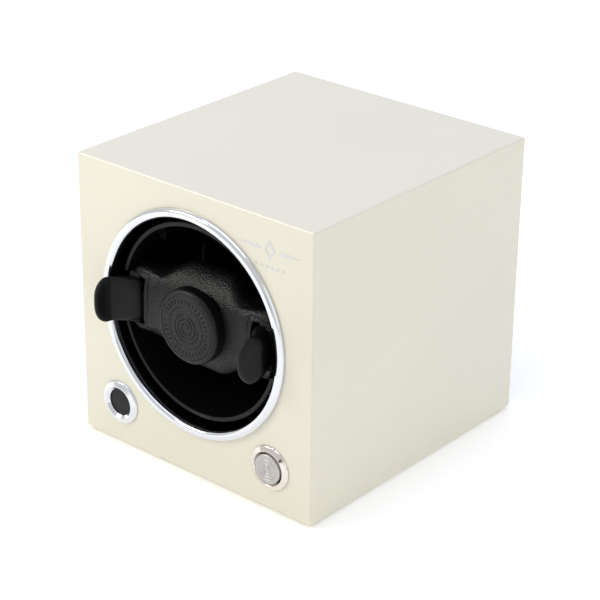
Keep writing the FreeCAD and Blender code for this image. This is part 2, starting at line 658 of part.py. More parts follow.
def holder():
    core = holder_core_shape()
    add("holder_core", core)
    add("lever_pins", *[upright(PIN_R, EAR_Z1, sx) for sx in (-1, 1)])
    washers = []
    for sx in (-1, 1):
        tube = upright(KNUCKLE_R - 0.3, EAR_Z0 - WASHER_GAP, sx).cut(upright(PIN_R + RUN_CLEAR, EAR_Z1, sx))
        gap = EAR_Z0 - WASHER_GAP - WASHER_T
        washers += tube.cut(upright(KNUCKLE_R, gap, sx)).Solids
    add("lever_washers", *washers)

    pad = prism_y(pad_outline(), yd(PAD_FRONT_D), yd(PAD_BACK_D))
    pad = pad.makeFillet(PAD_FRONT_FILLET, edges_at(pad, yd(PAD_FRONT_D)))
    pad = pad.makeFillet(PAD_BACK_FILLET, edges_at(pad, yd(PAD_BACK_D)))
    pad = pad.common(rod(PAD_END_R, yd(0), yd(PAD_BACK_D + 1)))
    hollow = block(-50, 50, yd(CORE_D0), yd(CORE_D1), AXIS_Z - CORE_HALF_Z, AXIS_Z + CORE_HALF_Z)
    pad = pad.cut(hollow)
    for sx in (-1, 1):
        x0, x1 = sorted((sx * SLOT_X, sx * 60.0))
        z0, z1 = AXIS_Z - SLOT_HALF_Z, AXIS_Z + SLOT_HALF_Z
        pad = pad.cut(block(x0, x1, yd(0), yd(PAD_FRONT_D + SLOT_DEEP), z0, z1))
        e0, e1 = sorted((sx * (HINGE_X - 3.4), sx * 60.0))
        pad = pad.cut(block(e0, e1, yd(HINGE_D - 2.4), yd(CORE_D0 + 6), AXIS_Z - EAR_Z1, AXIS_Z + EAR_Z1))
    pad = pad.cut(rod(BOSS_STEM_R, yd(0), yd(CORE_D0)))
    z0, z1 = AXIS_Z - CORE_HALF_Z, AXIS_Z + CORE_HALF_Z
    pad = pad.cut(block(-PLATE_HALF_X, PLATE_HALF_X, yd(CORE_D1), yd(PAD_BACK_D), z0, z1))
    add("holder_pad", pad)

    boss = turned(
        [
            (0, yd(-BOSS_PROUD), 0),
            (BOSS_R, yd(-BOSS_PROUD), BOSS_EDGE),
            (BOSS_R, yd(PAD_FRONT_D), 1.0),
            (BOSS_STEM_R, yd(PAD_FRONT_D), 0),
            (BOSS_STEM_R, yd(CORE_D0), 0),
            (0, yd(CORE_D0), 0),
        ]
    )
    boss = boss.cut(rod(1.1, yd(2.0), yd(CORE_D0) + 1))
    add("watch_boss", boss)
    add("boss_screw", pan_screw(1.05, CORE_D1 - 4.0, 2.4, 1.4, 0, AXIS_Z, yd(CORE_D1), -1))

    half = PLATE_HALF_X - 0.2
    plate = block(-half, half, yd(PAD_BACK_D - HOLDER_PLATE_T), yd(PAD_BACK_D), z0, z1)
    pegs = [rod(PEG_R, yd(CORE_D1), yd(PAD_BACK_D) + PEG_L, sx * SOCKET_X) for sx in (-1, 1)]
    add("holder_back_plate", joined([plate] + pegs))


def lever_shape(side):
    """A finger lever at full spread, -1 left or +1 right: a knuckle, a round neck and a curved paddle."""
    plan = [
        (-3.4, 0.5, 1.5),
        (-2.0, 4.4, 1.8),
        (1.6, 5.6, 4.0),
        (5.6, 10.4, 5.0),
        (6.9, 15.0, 8.0),
        (8.6, LEVER_REACH - 0.7, 1.4),
        (11.6, LEVER_REACH - 1.7, 1.4),
        (9.8, 13.6, 8.0),
        (8.2, 8.6, 6.0),
        (4.2, 2.6, 3.0),
        (2.6, -2.2, 1.0),
    ]
    z0 = AXIS_Z - LEVER_HALF_TIP
    y = yd(HINGE_D)
    paddle = Part.Face(
        rounded_wire(plan, lambda o, f: V(side * (HINGE_X + o), y - f, z0))
    ).extrude(V(0, 0, 2 * LEVER_HALF_TIP))
    root, tip, c = LEVER_HALF_ROOT, LEVER_HALF_TIP, LEVER_CORNER
    outline = [
        (-5.0, -root, 0),
        (4.0, -root, 4),
        (9.0, -tip, 6),
        (LEVER_REACH, -tip, c),
        (LEVER_REACH, tip, c),
        (9.0, tip, 6),
        (4.0, root, 4),
        (-5.0, root, 0),
    ]
    side_face = Part.Face(rounded_wire(outline, lambda f, z: V(side * (HINGE_X - 8), y - f, AXIS_Z + z)))
    paddle = paddle.common(side_face.extrude(V(side * 30, 0, 0)))
    neck_at = V(side * (HINGE_X + NECK_O), y - NECK_F, AXIS_Z - NECK_HALF)
    neck = Part.makeCylinder(NECK_R, 2 * NECK_HALF, neck_at, V(0, 0, 1))
    neck = neck.makeFillet(NECK_ROUND, [e for e in neck.Edges if e.BoundBox.ZLength < 0.01])
    lever = joined([paddle, upright(KNUCKLE_R, root, side), neck])
    return lever.cut(upright(PIN_R + RUN_CLEAR, 20, side))


def levers():
    add("left_lever", lever_shape(-1))
    right = lever_shape(1)
    right.rotate(V(HINGE_X, yd(HINGE_D), AXIS_Z), V(0, 0, 1), -RIGHT_LEVER_CLOSED)
    add("right_lever", right)


# ---------------------------------------------------------------- lamp window and push button
TAGS_Y1 = yd(BARREL_BACK_D + 4.0)


def corner_trim(x):
    """Turned metal trim: the face slopes up to a crest and down into the bore, with a barrel behind."""
    return turned(
        [
            (TRIM_BORE_R, FRONT - 0.9, 0),
            (TRIM_CREST_R, FRONT - TRIM_PROUD, 0.5),
            (TRIM_R, FRONT - 0.9, 0.5),
            (TRIM_R, FRONT, 0),
            (BARREL_R, FRONT, 0),
            (BARREL_R, yd(BARREL_BACK_D), 0),
            (TRIM_BORE_R, yd(BARREL_BACK_D), 0),
        ],
        x,
        CORNER_Z,
    )


def lamp_window():
    x = -CORNER_X
    add("lamp_trim", corner_trim(x))
    lens = turned(
        [
            (0, FRONT - 0.3, 0),
            (TRIM_BORE_R - 0.02, FRONT - 0.3, 0.3),
            (TRIM_BORE_R - 0.02, FRONT + 2.2, 0),
            (0, FRONT + 2.2, 0),
        ],
        x,
        CORNER_Z,
    )
    add("lamp_lens", lens)
    holder_y = yd(6.0)
    cup = ring(TRIM_BORE_R - 0.03, 2.55, holder_y, yd(BARREL_BACK_D - 1), x, CORNER_Z)
    add("lamp_holder", cup)
    lamp = [rod(2.5, holder_y, holder_y + 6, x, CORNER_Z), Part.makeSphere(2.5, V(x, holder_y, CORNER_Z))]
    legs = [tag(x + s * 1.27, CORNER_Z, holder_y + 5.5, TAGS_Y1, 0.25, 0.25) for s in (-1, 1)]
    add("lamp_led", joined(lamp + legs))


def push_button():
    """A sprung metal cap in the matching trim, over a small push switch."""
    x = CORNER_X
    bore = CAP_R + 0.12
    trim = corner_trim(x).cut(rod(bore, FRONT - 3, yd(6.0), x, CORNER_Z))
    add("button_trim", trim)
    cap_y0, cap_y1 = FRONT - CAP_PROUD, FRONT + 1.6
    cap = turned(
        [
            (0, cap_y0, 0),
            (CAP_R, cap_y0, 0.6),
            (CAP_R, cap_y1, 0),
            (2.2, cap_y1, 0),
            (2.2, cap_y1 + 5.4, 0),
            (0, cap_y1 + 5.4, 0),
        ],
        x,
        CORNER_Z,
    )
    add("button_cap", cap)
    body_y0 = yd(8.6)
    body = rod(TRIM_BORE_R - 0.03, body_y0, yd(BARREL_BACK_D - 1), x, CORNER_Z)
    body = body.cut(rod(2.4, body_y0 - 1, yd(12.0), x, CORNER_Z))
    add("button_switch", body)
    add("button_plunger", rod(2.0, cap_y1 + 5.4, body_y0 + 1.8, x, CORNER_Z))
    turns = spring_coil(x, CORNER_Z, cap_y1 + 0.05, body_y0 - 0.05, 3.6, 0.35, 4)
    add("button_spring", turns)
    tags = [tag(x + s * 3.0, CORNER_Z, yd(BARREL_BACK_D - 1), TAGS_Y1, 0.4, 0.2) for s in (-1, 1)]
    add("button_switch_tags", *tags)


def corner_nuts():
    """The nuts that hold both trims, on the front board's inner face."""
    y0 = FRONT + BOARD
    nuts = []
    for x in (-CORNER_X, CORNER_X):
        nut = hexagon(NUT_R, y0, y0 + NUT_T, x, CORNER_Z)
        nuts.append(nut.cut(rod(BARREL_R + 0.02, y0 - 1, y0 + NUT_T + 1, x, CORNER_Z)))
    add("corner_nuts", *nuts)


def spring_coil(x, z, y0, y1, radius, wire_r, turns):
    """A compression spring about the line along Y through (x, z)."""
    height = y1 - y0 - 2 * wire_r
    helix = Part.makeHelix(height / turns, height, radius)
    start = helix.Vertexes[0].Point
    section = Part.Wire(Part.Circle(start, V(0, 1, 0), wire_r).toShape())
    coil = Part.Wire(helix.Edges).makePipeShell([section], True, True)
    coil.rotate(V(0, 0, 0), V(1, 0, 0), -90)
    coil.translate(V(x, y0 + wire_r, z))
    return coil


# ---------------------------------------------------------------- electronics
def along_x(r, length, y, z, x):
    return Part.makeCylinder(r, length, V(x, y, z), V(1, 0, 0))


def control_board():
    """Circuit board on four posts on the left board, with its components and plugs."""
    wall = -INNER_X
    x0 = wall + PCB_STAND
    x1 = x0 + PCB_T
    board = block(x0, x1, PCB_Y0, PCB_Y1, PCB_Z0, PCB_Z1)
    posts, screws = [], []
    for y in (PCB_Y0 + 4, PCB_Y1 - 4):
        for z in (PCB_Z0 + 4, PCB_Z1 - 4):
            board = board.cut(along_x(1.6, PCB_T + 2, y, z, x0 - 1))
            post = along_x(3.0, PCB_STAND, y, z, wall)
            posts.append(post.cut(along_x(1.3, PCB_STAND + 1, y, z, wall - 0.5)))
            screws.append(joined([along_x(1.25, PCB_T + 4.0, y, z, x0 - 4.0), along_x(2.5, 1.4, y, z, x1)]))
    add("control_board", board)
    add("board_posts", *posts)
    add("board_screws", *screws)
    controller = block(x1, x1 + 1.8, 22, 32, 66, 76)
    driver = block(x1, x1 + 1.6, 14, 19, 88, 94)
    add("board_chips", controller, driver, along_x(4.0, 9.0, 42, 90, x1), along_x(3.0, 7.0, 42, 78, x1))
    plugs = []
    for k in range(4):
        y = PLUG_Y0 + k * PLUG_PITCH
        plugs.append(block(x1, x1 + PLUG_T, y, y + PLUG_W, PLUG_Z0, PLUG_Z0 + PLUG_H))
    add("board_plugs", *plugs)


def lead(route):
    """A round lead of straight runs joined by tangent arcs, each as large as its two runs allow."""
    points = [V(*p) for p in route]
    edges, at = [], points[0]
    for before, corner, after in zip(points, points[1:], points[2:]):
        back, onward = before - corner, after - corner
        share = 0.45 * min(back.Length, onward.Length)
        back.normalize()
        onward.normalize()
        half = back.getAngle(onward) / 2
        radius = share * tan(half)
        middle = (back + onward).normalize() * (radius / sin(half) - radius)
        start, end = corner + back * share, corner + onward * share
        edges.append(Part.LineSegment(at, start).toShape())
        edges.append(Part.Arc(start, corner + middle, end).toShape())
        at = end
    edges.append(Part.LineSegment(at, points[-1]).toShape())
    section = Part.Wire(Part.Circle(points[0], points[1] - points[0], LEAD_R).toShape())
    return Part.Wire(edges).makePipeShell([section], True, True)


def leads():
    """Four leads, from the board's plugs to the switch, the lamp, the motor and the power inlet."""
    x = -INNER_X + PCB_STAND + PCB_T + PLUG_T / 2
    z = PLUG_Z0
    ys = [PLUG_Y0 + PLUG_W / 2 + k * PLUG_PITCH for k in range(4)]
    motor_y = PLATE_Y0 + PLATE_T + GEARBOX_L + MOTOR_L
    jack_y = COVER_Y0 - JACK_BODY_L
    boots = [
        block(-CORNER_X - 2.4, -CORNER_X + 2.4, TAGS_Y1 - 3, TAGS_Y1 + 3, CORNER_Z - 1.5, CORNER_Z + 1.5),
        block(CORNER_X - 4.2, CORNER_X + 4.2, TAGS_Y1 - 3, TAGS_Y1 + 3, CORNER_Z - 1.5, CORNER_Z + 1.5),
        block(-1.8, 1.8, motor_y + 1.9, motor_y + 5.5, MOTOR_Z - 8, MOTOR_Z + 8),
        block(JACK_X - 1.6, JACK_X + 1.6, jack_y - 8, jack_y - 0.5, JACK_Z - 4.5, JACK_Z + 4.5),
    ]
    boot_y = TAGS_Y1 + 3
    routes = [
        [(-CORNER_X, boot_y - 1, CORNER_Z), (-CORNER_X, -40, 21), (-49, -22, 17), (x, -4, 17), (x, 10, 23),
         (x, ys[0], 36), (x, ys[0], z)],
        [(CORNER_X, boot_y - 1, CORNER_Z), (CORNER_X, -38, 20), (40, -15, 15), (15, 5, 14), (-15, 14, 14),
         (-38, 19, 16), (-49, 23, 25), (x, ys[1], 37), (x, ys[1], z)],
        [(-1, motor_y + 3.7, MOTOR_Z), (-14, motor_y + 3.7, MOTOR_Z), (-32, motor_y - 2, 40), (-46, 46, 39),
         (x, ys[2], 42), (x, ys[2], z)],
        [(JACK_X, jack_y - 7, JACK_Z), (JACK_X, 47, 29), (-45, 42, 32), (x, ys[3], 40), (x, ys[3], z)],
    ]
    tags = ("lamp_led", "button_switch_tags", "motor_tags", "power_inlet_tags")
    taken = Part.Compound([PARTS[name] for name in tags])
    add("leads", *[joined([lead(route), boot]).cut(taken) for route, boot in zip(routes, boots)])


def front_emblem():
    """A thin printed ornament: a lozenge between two tapering bars, over a row of dots."""
    x, z = EMBLEM_X, EMBLEM_Z
    y0, y1 = FRONT - EMBLEM_T, FRONT
    lozenge = prism_y(sharp([(x - 3.2, z), (x, z - 4.6), (x + 3.2, z), (x, z + 4.6)]), y0, y1)
    hole = prism_y(sharp([(x - 1.9, z), (x, z - 2.8), (x + 1.9, z), (x, z + 2.8)]), y0 - 1, y1 + 1)
    pieces = [lozenge.cut(hole)]
    for s in (-1, 1):
        bar = [(x + s * 5.0, z), (x + s * 7.2, z - 0.9), (x + s * 17.0, z), (x + s * 7.2, z + 0.9)]
        pieces.append(prism_y(sharp(bar), y0, y1))
    for k in range(6):
        pieces.append(rod(0.75, y0, y1, x - 7.5 + 3.0 * k, z - 8.0))
    add("front_emblem", *pieces)


def main():
    cabinet_boards()
    base_felt()
    back_cover()
    power_inlet()
    front_bezel()
    drum_can()
    drum()
    shaft_and_bearings()
    belt_drive()
    motor_mount()
    holder()
    levers()
    lamp_window()
    push_button()
    corner_nuts()
    control_board()
    leads()
    front_emblem()
    os.makedirs(OUT, exist_ok=True)
    for name, shape in PARTS.items():
        solids = shape.Solids
        assert solids and all(s.isValid() and s.Volume > 0 for s in solids), name
        shape.exportStep(os.path.join(OUT, name + ".step"))
        print(f"{name:22s} solids {len(solids)}  volume {sum(s.Volume for s in solids):10.1f} mm3")


main()
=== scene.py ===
"""Finishes and soft parts of a single watch winder in a lacquered cube cabinet.

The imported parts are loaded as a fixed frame. Boards, drum, drive and fastenings keep their own meshes and
get a finish. The bezel, corner trims, lens, button cap and spring, holder pad, boss, finger levers and base
felt are worked out here as smooth surfaces and stand for their plain parts. All sizes are in metres, and
"depth" is measured back from the front face.
"""

import math

import bmesh
import bpy
import numpy as np
from bpy.props import FloatProperty, FloatVectorProperty, IntProperty, PointerProperty
from mathutils import Matrix, Vector


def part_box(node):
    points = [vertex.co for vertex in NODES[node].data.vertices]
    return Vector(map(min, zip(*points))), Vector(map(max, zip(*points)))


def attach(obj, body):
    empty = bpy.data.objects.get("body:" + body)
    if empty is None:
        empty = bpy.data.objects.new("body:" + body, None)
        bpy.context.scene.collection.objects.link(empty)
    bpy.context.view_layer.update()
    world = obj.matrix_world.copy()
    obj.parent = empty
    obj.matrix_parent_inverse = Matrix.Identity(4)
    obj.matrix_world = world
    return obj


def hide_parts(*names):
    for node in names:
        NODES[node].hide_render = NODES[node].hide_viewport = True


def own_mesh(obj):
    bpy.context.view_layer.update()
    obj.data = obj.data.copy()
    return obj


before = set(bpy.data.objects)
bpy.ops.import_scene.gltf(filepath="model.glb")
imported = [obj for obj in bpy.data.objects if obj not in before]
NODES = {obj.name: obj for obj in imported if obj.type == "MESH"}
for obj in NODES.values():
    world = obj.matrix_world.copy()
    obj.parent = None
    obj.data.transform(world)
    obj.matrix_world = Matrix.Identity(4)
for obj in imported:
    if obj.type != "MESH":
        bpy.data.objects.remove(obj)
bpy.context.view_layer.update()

bl_info = {
    "name": "Watch Winder Finishes",
    "version": (1, 0, 0),
    "blender": (4, 5, 0),
    "location": "3D View > Sidebar > Winder",
    "description": "Builds the trims, pad and levers of a watch winder and gives every part its finish",
    "category": "Object",
}

# ---------------- places, from the frame
MM = 0.001
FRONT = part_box("front_panel")[0].y
BEZEL_LO, BEZEL_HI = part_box("front_bezel")
AXIS_Z = (BEZEL_LO.z + BEZEL_HI.z) / 2
BEZEL_R = (BEZEL_HI.x - BEZEL_LO.x) / 2
LAMP_LO, LAMP_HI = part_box("lamp_trim")
BUTTON_LO, BUTTON_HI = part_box("button_trim")
CAP_LO, CAP_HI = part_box("button_cap")
LENS_LO, LENS_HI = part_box("lamp_lens")
BOSS_LO, BOSS_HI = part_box("watch_boss")
PAD_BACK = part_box("holder_pad")[1].y
SPRING_LO, SPRING_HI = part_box("button_spring")
PIN_LO, PIN_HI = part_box("lever_pins")
PIN_X = PIN_HI.x - (PIN_HI.y - PIN_LO.y) / 2
PIN_Y = (PIN_LO.y + PIN_HI.y) / 2

# ---------------- sizes that shape the pieces
BEZEL_BORE = 50.1 * MM
BEZEL_SPIGOT_R = 52.9 * MM
BEZEL_SPIGOT_DEPTH = 6.9 * MM
TRIM_NECK_R = 7.9 * MM
TRIM_NECK_DEPTH = 4.0 * MM
SPRING_WIRE = 0.35 * MM
SPRING_TURNS = 4
SLOT_X = 32.6 * MM
SLOT_HALF_Z = 11.2 * MM
SLOT_DEPTH = 10.7 * MM
PRESSED_LINE_GAP = 2.1 * MM
PAD_REACH = 43.9 * MM
DRUM_ROOM_R = 44.2 * MM


def midpoint(lo, hi):
    """Centre of a box in X and Z."""
    return (lo.x + hi.x) / 2, (lo.z + hi.z) / 2


# ---------------- mesh making
def smooth_shaded(piece):
    """Shades the whole of a piece smooth."""
    piece.data.polygons.foreach_set("use_smooth", np.ones(len(piece.data.polygons), bool))
    piece.data.update()
    return piece


def new_object(name, mesh):
    """Links a mesh to the scene as an object at the origin, smooth shaded."""
    piece = bpy.data.objects.new(name, mesh)
    bpy.context.scene.collection.objects.link(piece)
    return smooth_shaded(piece)


def tidy_mesh(mesh, merge=1e-7):
    """Merges doubled points, so that seams and poles are closed, and turns all faces outwards."""
    work = bmesh.new()
    work.from_mesh(mesh)
    bmesh.ops.remove_doubles(work, verts=work.verts, dist=merge)
    bmesh.ops.dissolve_degenerate(work, edges=work.edges, dist=merge)
    bmesh.ops.recalc_face_normals(work, faces=work.faces)
    work.to_mesh(mesh)
    work.free()


def grid_mesh(name, points, wrap_u=False, wrap_v=True):
    """A mesh over an (m, n, 3) array: each cell of the grid is a quad, and a wrapped direction joins up."""
    m, n = points.shape[:2]
    index = np.arange(m * n).reshape(m, n)
    if wrap_u:
        index = np.vstack([index, index[:1]])
    if wrap_v:
        index = np.hstack([index, index[:, :1]])
    quads = np.stack([index[:-1, :-1], index[1:, :-1], index[1:, 1:], index[:-1, 1:]], -1).reshape(-1, 4)
    mesh = bpy.data.meshes.new(name)
    mesh.vertices.add(m * n)
    mesh.vertices.foreach_set("co", points.astype(np.float32).ravel())
    mesh.loops.add(quads.size)
    mesh.loops.foreach_set("vertex_index", quads.astype(np.int32).ravel())
    mesh.polygons.add(len(quads))
    mesh.polygons.foreach_set("loop_start", np.arange(0, quads.size, 4, dtype=np.int32))
    mesh.update(calc_edges=True)
    tidy_mesh(mesh)
    return mesh


def rounded_profile(corners, arc_steps=6):
    """A polyline through (u, v, radius) corners: each corner becomes an arc tangent to its two runs."""
    points = [np.array(corners[0][:2])]
    for before, corner, after in zip(corners, corners[1:], corners[2:]):
        at, radius = np.array(corner[:2]), corner[2]
        back, onward = np.array(before[:2]) - at, np.array(after[:2]) - at
        back, onward = back / np.linalg.norm(back), onward / np.linalg.norm(onward)
        half = math.acos(float(np.clip(back @ onward, -1, 1))) / 2
        if radius <= 0 or half > math.pi / 2 - 1e-3:
            points.append(at)
            continue
        inward = (back + onward) / np.linalg.norm(back + onward)
        centre = at + inward * radius / math.sin(half)
        start, end = at + back * radius / math.tan(half), at + onward * radius / math.tan(half)
        t = np.linspace(0, 1, arc_steps + 1)[:, None]
        swing = math.pi - 2 * half
        arc = np.sin((1 - t) * swing) * (start - centre) + np.sin(t * swing) * (end - centre)
        points.extend(centre + arc / math.sin(swing))
    points.append(np.array(corners[-1][:2]))
    return np.array(points)


def evenly_filled(profile, step):
    """The polyline with its long runs cut into steps, so that smooth shading stays true on flat faces."""
    out = [profile[:1]]
    for a, b in zip(profile, profile[1:]):
        count = max(1, int(np.linalg.norm(b - a) / step))
        out.append(a + (b - a) * (np.arange(1, count + 1) / count)[:, None])
    return np.vstack(out)


def turned(name, corners, x, z, segments=192, arc_steps=6, closed=True, step=0.25 * MM):
    """A surface of revolution about the line along Y through (x, z).

    The profile's (radius, y, corner radius) points are rounded, and each is carried round the circle:
    the point at angle a is (x + r cos a, y, z + r sin a). A closed profile joins its last point to its first.
    """
    ring = corners + corners[:1] if closed else corners
    profile = evenly_filled(rounded_profile(ring, arc_steps), step)
    profile = profile[:-1] if closed else profile
    angle = np.linspace(0, 2 * math.pi, segments, endpoint=False)
    r, y = profile[:, :1], profile[:, 1:]
    points = np.stack(
        [x + r * np.cos(angle), np.broadcast_to(y, (len(profile), segments)), z + r * np.sin(angle)], -1
    )
    return new_object(name, grid_mesh(name, points, wrap_u=closed))


def paint(piece, material):
    """Gives a piece one material and no other."""
    piece.data.materials.clear()
    piece.data.materials.append(material)


def finish_piece(piece, body, material, nodes):
    """Gives a new piece its finish, body and material slot, and hides the plain parts it stands for."""
    paint(piece, material)
    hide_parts(*nodes)
    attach(piece, body)
    return piece


def smoothstep(value, low, high):
    """0 below low, 1 above high, and an S-curve between."""
    t = np.clip((value - low) / (high - low), 0, 1)
    return t * t * (3 - 2 * t)


def groove(distance, width):
    """A rounded channel's depth profile: 1 on its centre line, 0 beyond half its width."""
    return np.clip(1 - (2 * distance / width) ** 2, 0, 1)


def points_of(mesh):
    """The mesh's points as an (n, 3) array."""
    co = np.zeros(len(mesh.vertices) * 3, np.float32)
    mesh.vertices.foreach_get("co", co)
    return co.reshape(-1, 3).astype(float)


def set_points(mesh, co):
    """Puts an (n, 3) array back into the mesh."""
    mesh.vertices.foreach_set("co", co.astype(np.float32).ravel())
    mesh.update()


def normals_of(mesh):
    """The mesh's point normals as an (n, 3) array."""
    out = np.zeros(len(mesh.vertices) * 3, np.float32)
    mesh.vertex_normals.foreach_get("vector", out)
    return out.reshape(-1, 3).astype(float)


def even_skin(piece, voxel, smoothing=0):
    """Remeshes a piece into even cells of one size, then relaxes its points so many times."""
    remesh = piece.modifiers.new("even_skin", "REMESH")
    remesh.mode = "VOXEL"
    remesh.voxel_size = voxel
    if smoothing:
        soften = piece.modifiers.new("soften", "SMOOTH")
        soften.factor = 0.5
        soften.iterations = smoothing
    apply_modifiers(piece)


def apply_modifiers(piece):
    """Replaces the piece's mesh by what its modifiers make of it."""
    graph = bpy.context.evaluated_depsgraph_get()
    made = bpy.data.meshes.new_from_object(piece.evaluated_get(graph))
    piece.modifiers.clear()
    piece.data = made
    return piece


# ---------------- finishes
class Finish:
    """A node-based material under construction, with short calls for its nodes."""

    def __init__(self, name, **sockets):
        self.material = bpy.data.materials.new(name)
        self.material.use_nodes = True
        self.tree = self.material.node_tree
        self.shader = self.tree.nodes["Principled BSDF"]
        self.coordinate = self.tree.nodes.new("ShaderNodeTexCoord").outputs["Object"]
        for socket, value in sockets.items():
            self.shader.inputs[socket.replace("_", " ")].default_value = value

    def link(self, a, b):
        self.tree.links.new(a, b)

    def noise(self, scale, detail=4.0, roughness=0.55, stretch=None):
        """Noise of so many cells to the metre, on the object's own coordinates, optionally stretched."""
        node = self.tree.nodes.new("ShaderNodeTexNoise")
        node.inputs["Scale"].default_value = scale
        node.inputs["Detail"].default_value = detail
        node.inputs["Roughness"].default_value = roughness
        self.link(self.stretched(stretch), node.inputs["Vector"])
        return node.outputs["Fac"]

    def cells(self, scale, feature="F1", smooth=0.0, stretch=None):
        """Cell distance of so many cells to the metre."""
        node = self.tree.nodes.new("ShaderNodeTexVoronoi")
        node.feature = feature
        node.inputs["Scale"].default_value = scale
        if feature == "SMOOTH_F1":
            node.inputs["Smoothness"].default_value = smooth
        self.link(self.stretched(stretch), node.inputs["Vector"])
        return node.outputs["Distance"]

    def stretched(self, stretch):
        if stretch is None:
            return self.coordinate
        mapping = self.tree.nodes.new("ShaderNodeMapping")
        mapping.inputs["Scale"].default_value = stretch
        self.link(self.coordinate, mapping.inputs["Vector"])
        return mapping.outputs["Vector"]

    def math(self, operation, a, b=0.0, c=0.0):
        node = self.tree.nodes.new("ShaderNodeMath")
        node.operation = operation
        for socket, value in zip(node.inputs, (a, b, c)):
            if isinstance(value, (int, float)):
                socket.default_value = value
            else:
                self.link(value, socket)
        return node.outputs[0]

    def axis(self, letter):
        """One coordinate of the point, in metres."""
        node = self.tree.nodes.new("ShaderNodeSeparateXYZ")
        self.link(self.coordinate, node.inputs[0])
        return node.outputs[letter]

    def remap(self, value, low, high, to_low, to_high):
        """Linear map of a value, held inside its two ends."""
        node = self.tree.nodes.new("ShaderNodeMapRange")
        self.link(value, node.inputs["Value"])
        for name, number in zip(("From Min", "From Max", "To Min", "To Max"), (low, high, to_low, to_high)):
            node.inputs[name].default_value = number
        return node.outputs["Result"]

    def blend(self, factor, dark, light):
        """A colour between two, by a factor from 0 to 1."""
        node = self.tree.nodes.new("ShaderNodeMix")
        node.data_type = "RGBA"
        self.link(factor, node.inputs["Factor"])
        for socket, colour in zip((node.inputs[6], node.inputs[7]), (dark, light)):
            if isinstance(colour, tuple):
                socket.default_value = (*colour[:3], 1.0)
            else:
                self.link(colour, socket)
        return node.outputs[2]

    def colour(self, output):
        self.link(output, self.shader.inputs["Base Color"])

    def roughness(self, output):
        self.link(output, self.shader.inputs["Roughness"])

    def bump(self, height, distance, strength=1.0):
        """Raises the surface by height times distance, over any bump already there."""
        node = self.tree.nodes.new("ShaderNodeBump")
        node.inputs["Distance"].default_value = distance
        node.inputs["Strength"].default_value = strength
        self.link(height, node.inputs["Height"])
        normal = self.shader.inputs["Normal"]
        if normal.is_linked:
            self.link(normal.links[0].from_socket, node.inputs["Normal"])
        self.link(node.outputs["Normal"], normal)


def tint(colour, factor):
    """The colour made lighter or darker by a factor."""
    return tuple(float(min(1.0, c * factor)) for c in colour[:3])


def lacquer(settings):
    """High-build cream lacquer: a faint drift of tone, a slight orange peel and a clear coat."""
    colour = tuple(settings.lacquer_colour)
    made = Finish("cream_lacquer", Coat_Weight=0.8, Coat_Roughness=0.12, IOR=1.5)
    drift = made.noise(14.0, detail=2.0)
    made.colour(made.blend(made.remap(drift, 0.35, 0.65, 0, 1), tint(colour, 0.985), tint(colour, 1.01)))
    made.roughness(made.remap(made.noise(160.0), 0.3, 0.7, 0.36, 0.44))
    made.bump(made.noise(700.0, detail=2.0), 0.02 * MM, 0.35)
    return made.material


def polished(name, colour, low=0.10, high=0.15):
    """Polished plate: mirror bright, with faint wiping marks in its roughness."""
    made = Finish(name, Metallic=1.0, Base_Color=(*colour, 1.0))
    made.roughness(made.remap(made.noise(70.0, detail=2.0), 0.35, 0.7, low, high))
    return made.material


def satin_metal(name, colour, low=0.28, high=0.42, brush=(1, 1, 1)):
    """Satin metal: fine blasted or brushed grain in its roughness and bump."""
    made = Finish(name, Metallic=1.0, Base_Color=(*colour, 1.0))
    grain = made.noise(2600.0, detail=3.0, stretch=brush)
    made.roughness(made.remap(grain, 0.3, 0.7, low, high))
    made.bump(grain, 0.012 * MM, 0.6)
    return made.material


def moulded(name, colour, low=0.4, high=0.55, grain=1500.0, depth=0.02):
    """Moulded plastic: a fine tool texture and a slight drift of tone."""
    made = Finish(name)
    drift = made.noise(60.0, detail=2.0)
    made.colour(made.blend(made.remap(drift, 0.35, 0.65, 0, 1), tint(colour, 0.94), tint(colour, 1.06)))
    texture = made.noise(grain, detail=3.0)
    made.roughness(made.remap(texture, 0.3, 0.7, low, high))
    made.bump(texture, depth * MM, 0.5)
    return made.material


def drum_finish():
    """Black moulding, glossy inside, with a satin grey face on the rim, by depth from the front."""
    made = Finish("drum_black", Specular_IOR_Level=0.2)
    rim_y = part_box("drum")[0].y
    on_rim = made.remap(made.axis("Y"), rim_y + 0.15 * MM, rim_y + 0.35 * MM, 1, 0)
    made.colour(made.blend(on_rim, (0.004, 0.004, 0.0045), (0.008, 0.008, 0.009)))
    fine = made.noise(900.0)
    gloss = made.remap(fine, 0.3, 0.7, 0.26, 0.34)
    satin = made.math("MULTIPLY", on_rim, 0.16)
    made.roughness(made.math("ADD", gloss, satin))
    made.bump(fine, 0.008 * MM, 0.4)
    return made.material


def leather(name, settings, crease=1.0):
    """Black calf: rounded pebbles with fine creases between them, a soft sheen, paler on the pebbles and darker
    between.
    """
    colour = tuple(settings.leather_colour)
    per_metre = 1 / settings.grain
    made = Finish(name, Specular_IOR_Level=0.29)
    pebble = made.cells(per_metre, "SMOOTH_F1", 0.25, stretch=(1, 1, 1.15))
    small = made.cells(per_metre * 2.3, "F1")
    relief = made.math("SUBTRACT", made.remap(pebble, 0.05, 0.75, 1, 0), made.math("MULTIPLY", small, 0.25))
    cloud = made.noise(45.0, detail=3.0)
    # colour follows the relief: darker in the creases, paler on the pebble tops
    made.colour(made.blend(made.remap(relief, 0.1, 0.9, 0, 1), tint(colour, 0.55), tint(colour, 1.15)))
    base = made.remap(relief, 0.0, 1.0, 0.44, 0.28)
    made.roughness(made.math("ADD", base, made.remap(cloud, 0.3, 0.7, -0.05, 0.05)))
    made.bump(relief, 0.2 * crease * MM, 0.7)
    made.bump(cloud, 0.25 * crease * MM, 0.25)
    return made.material


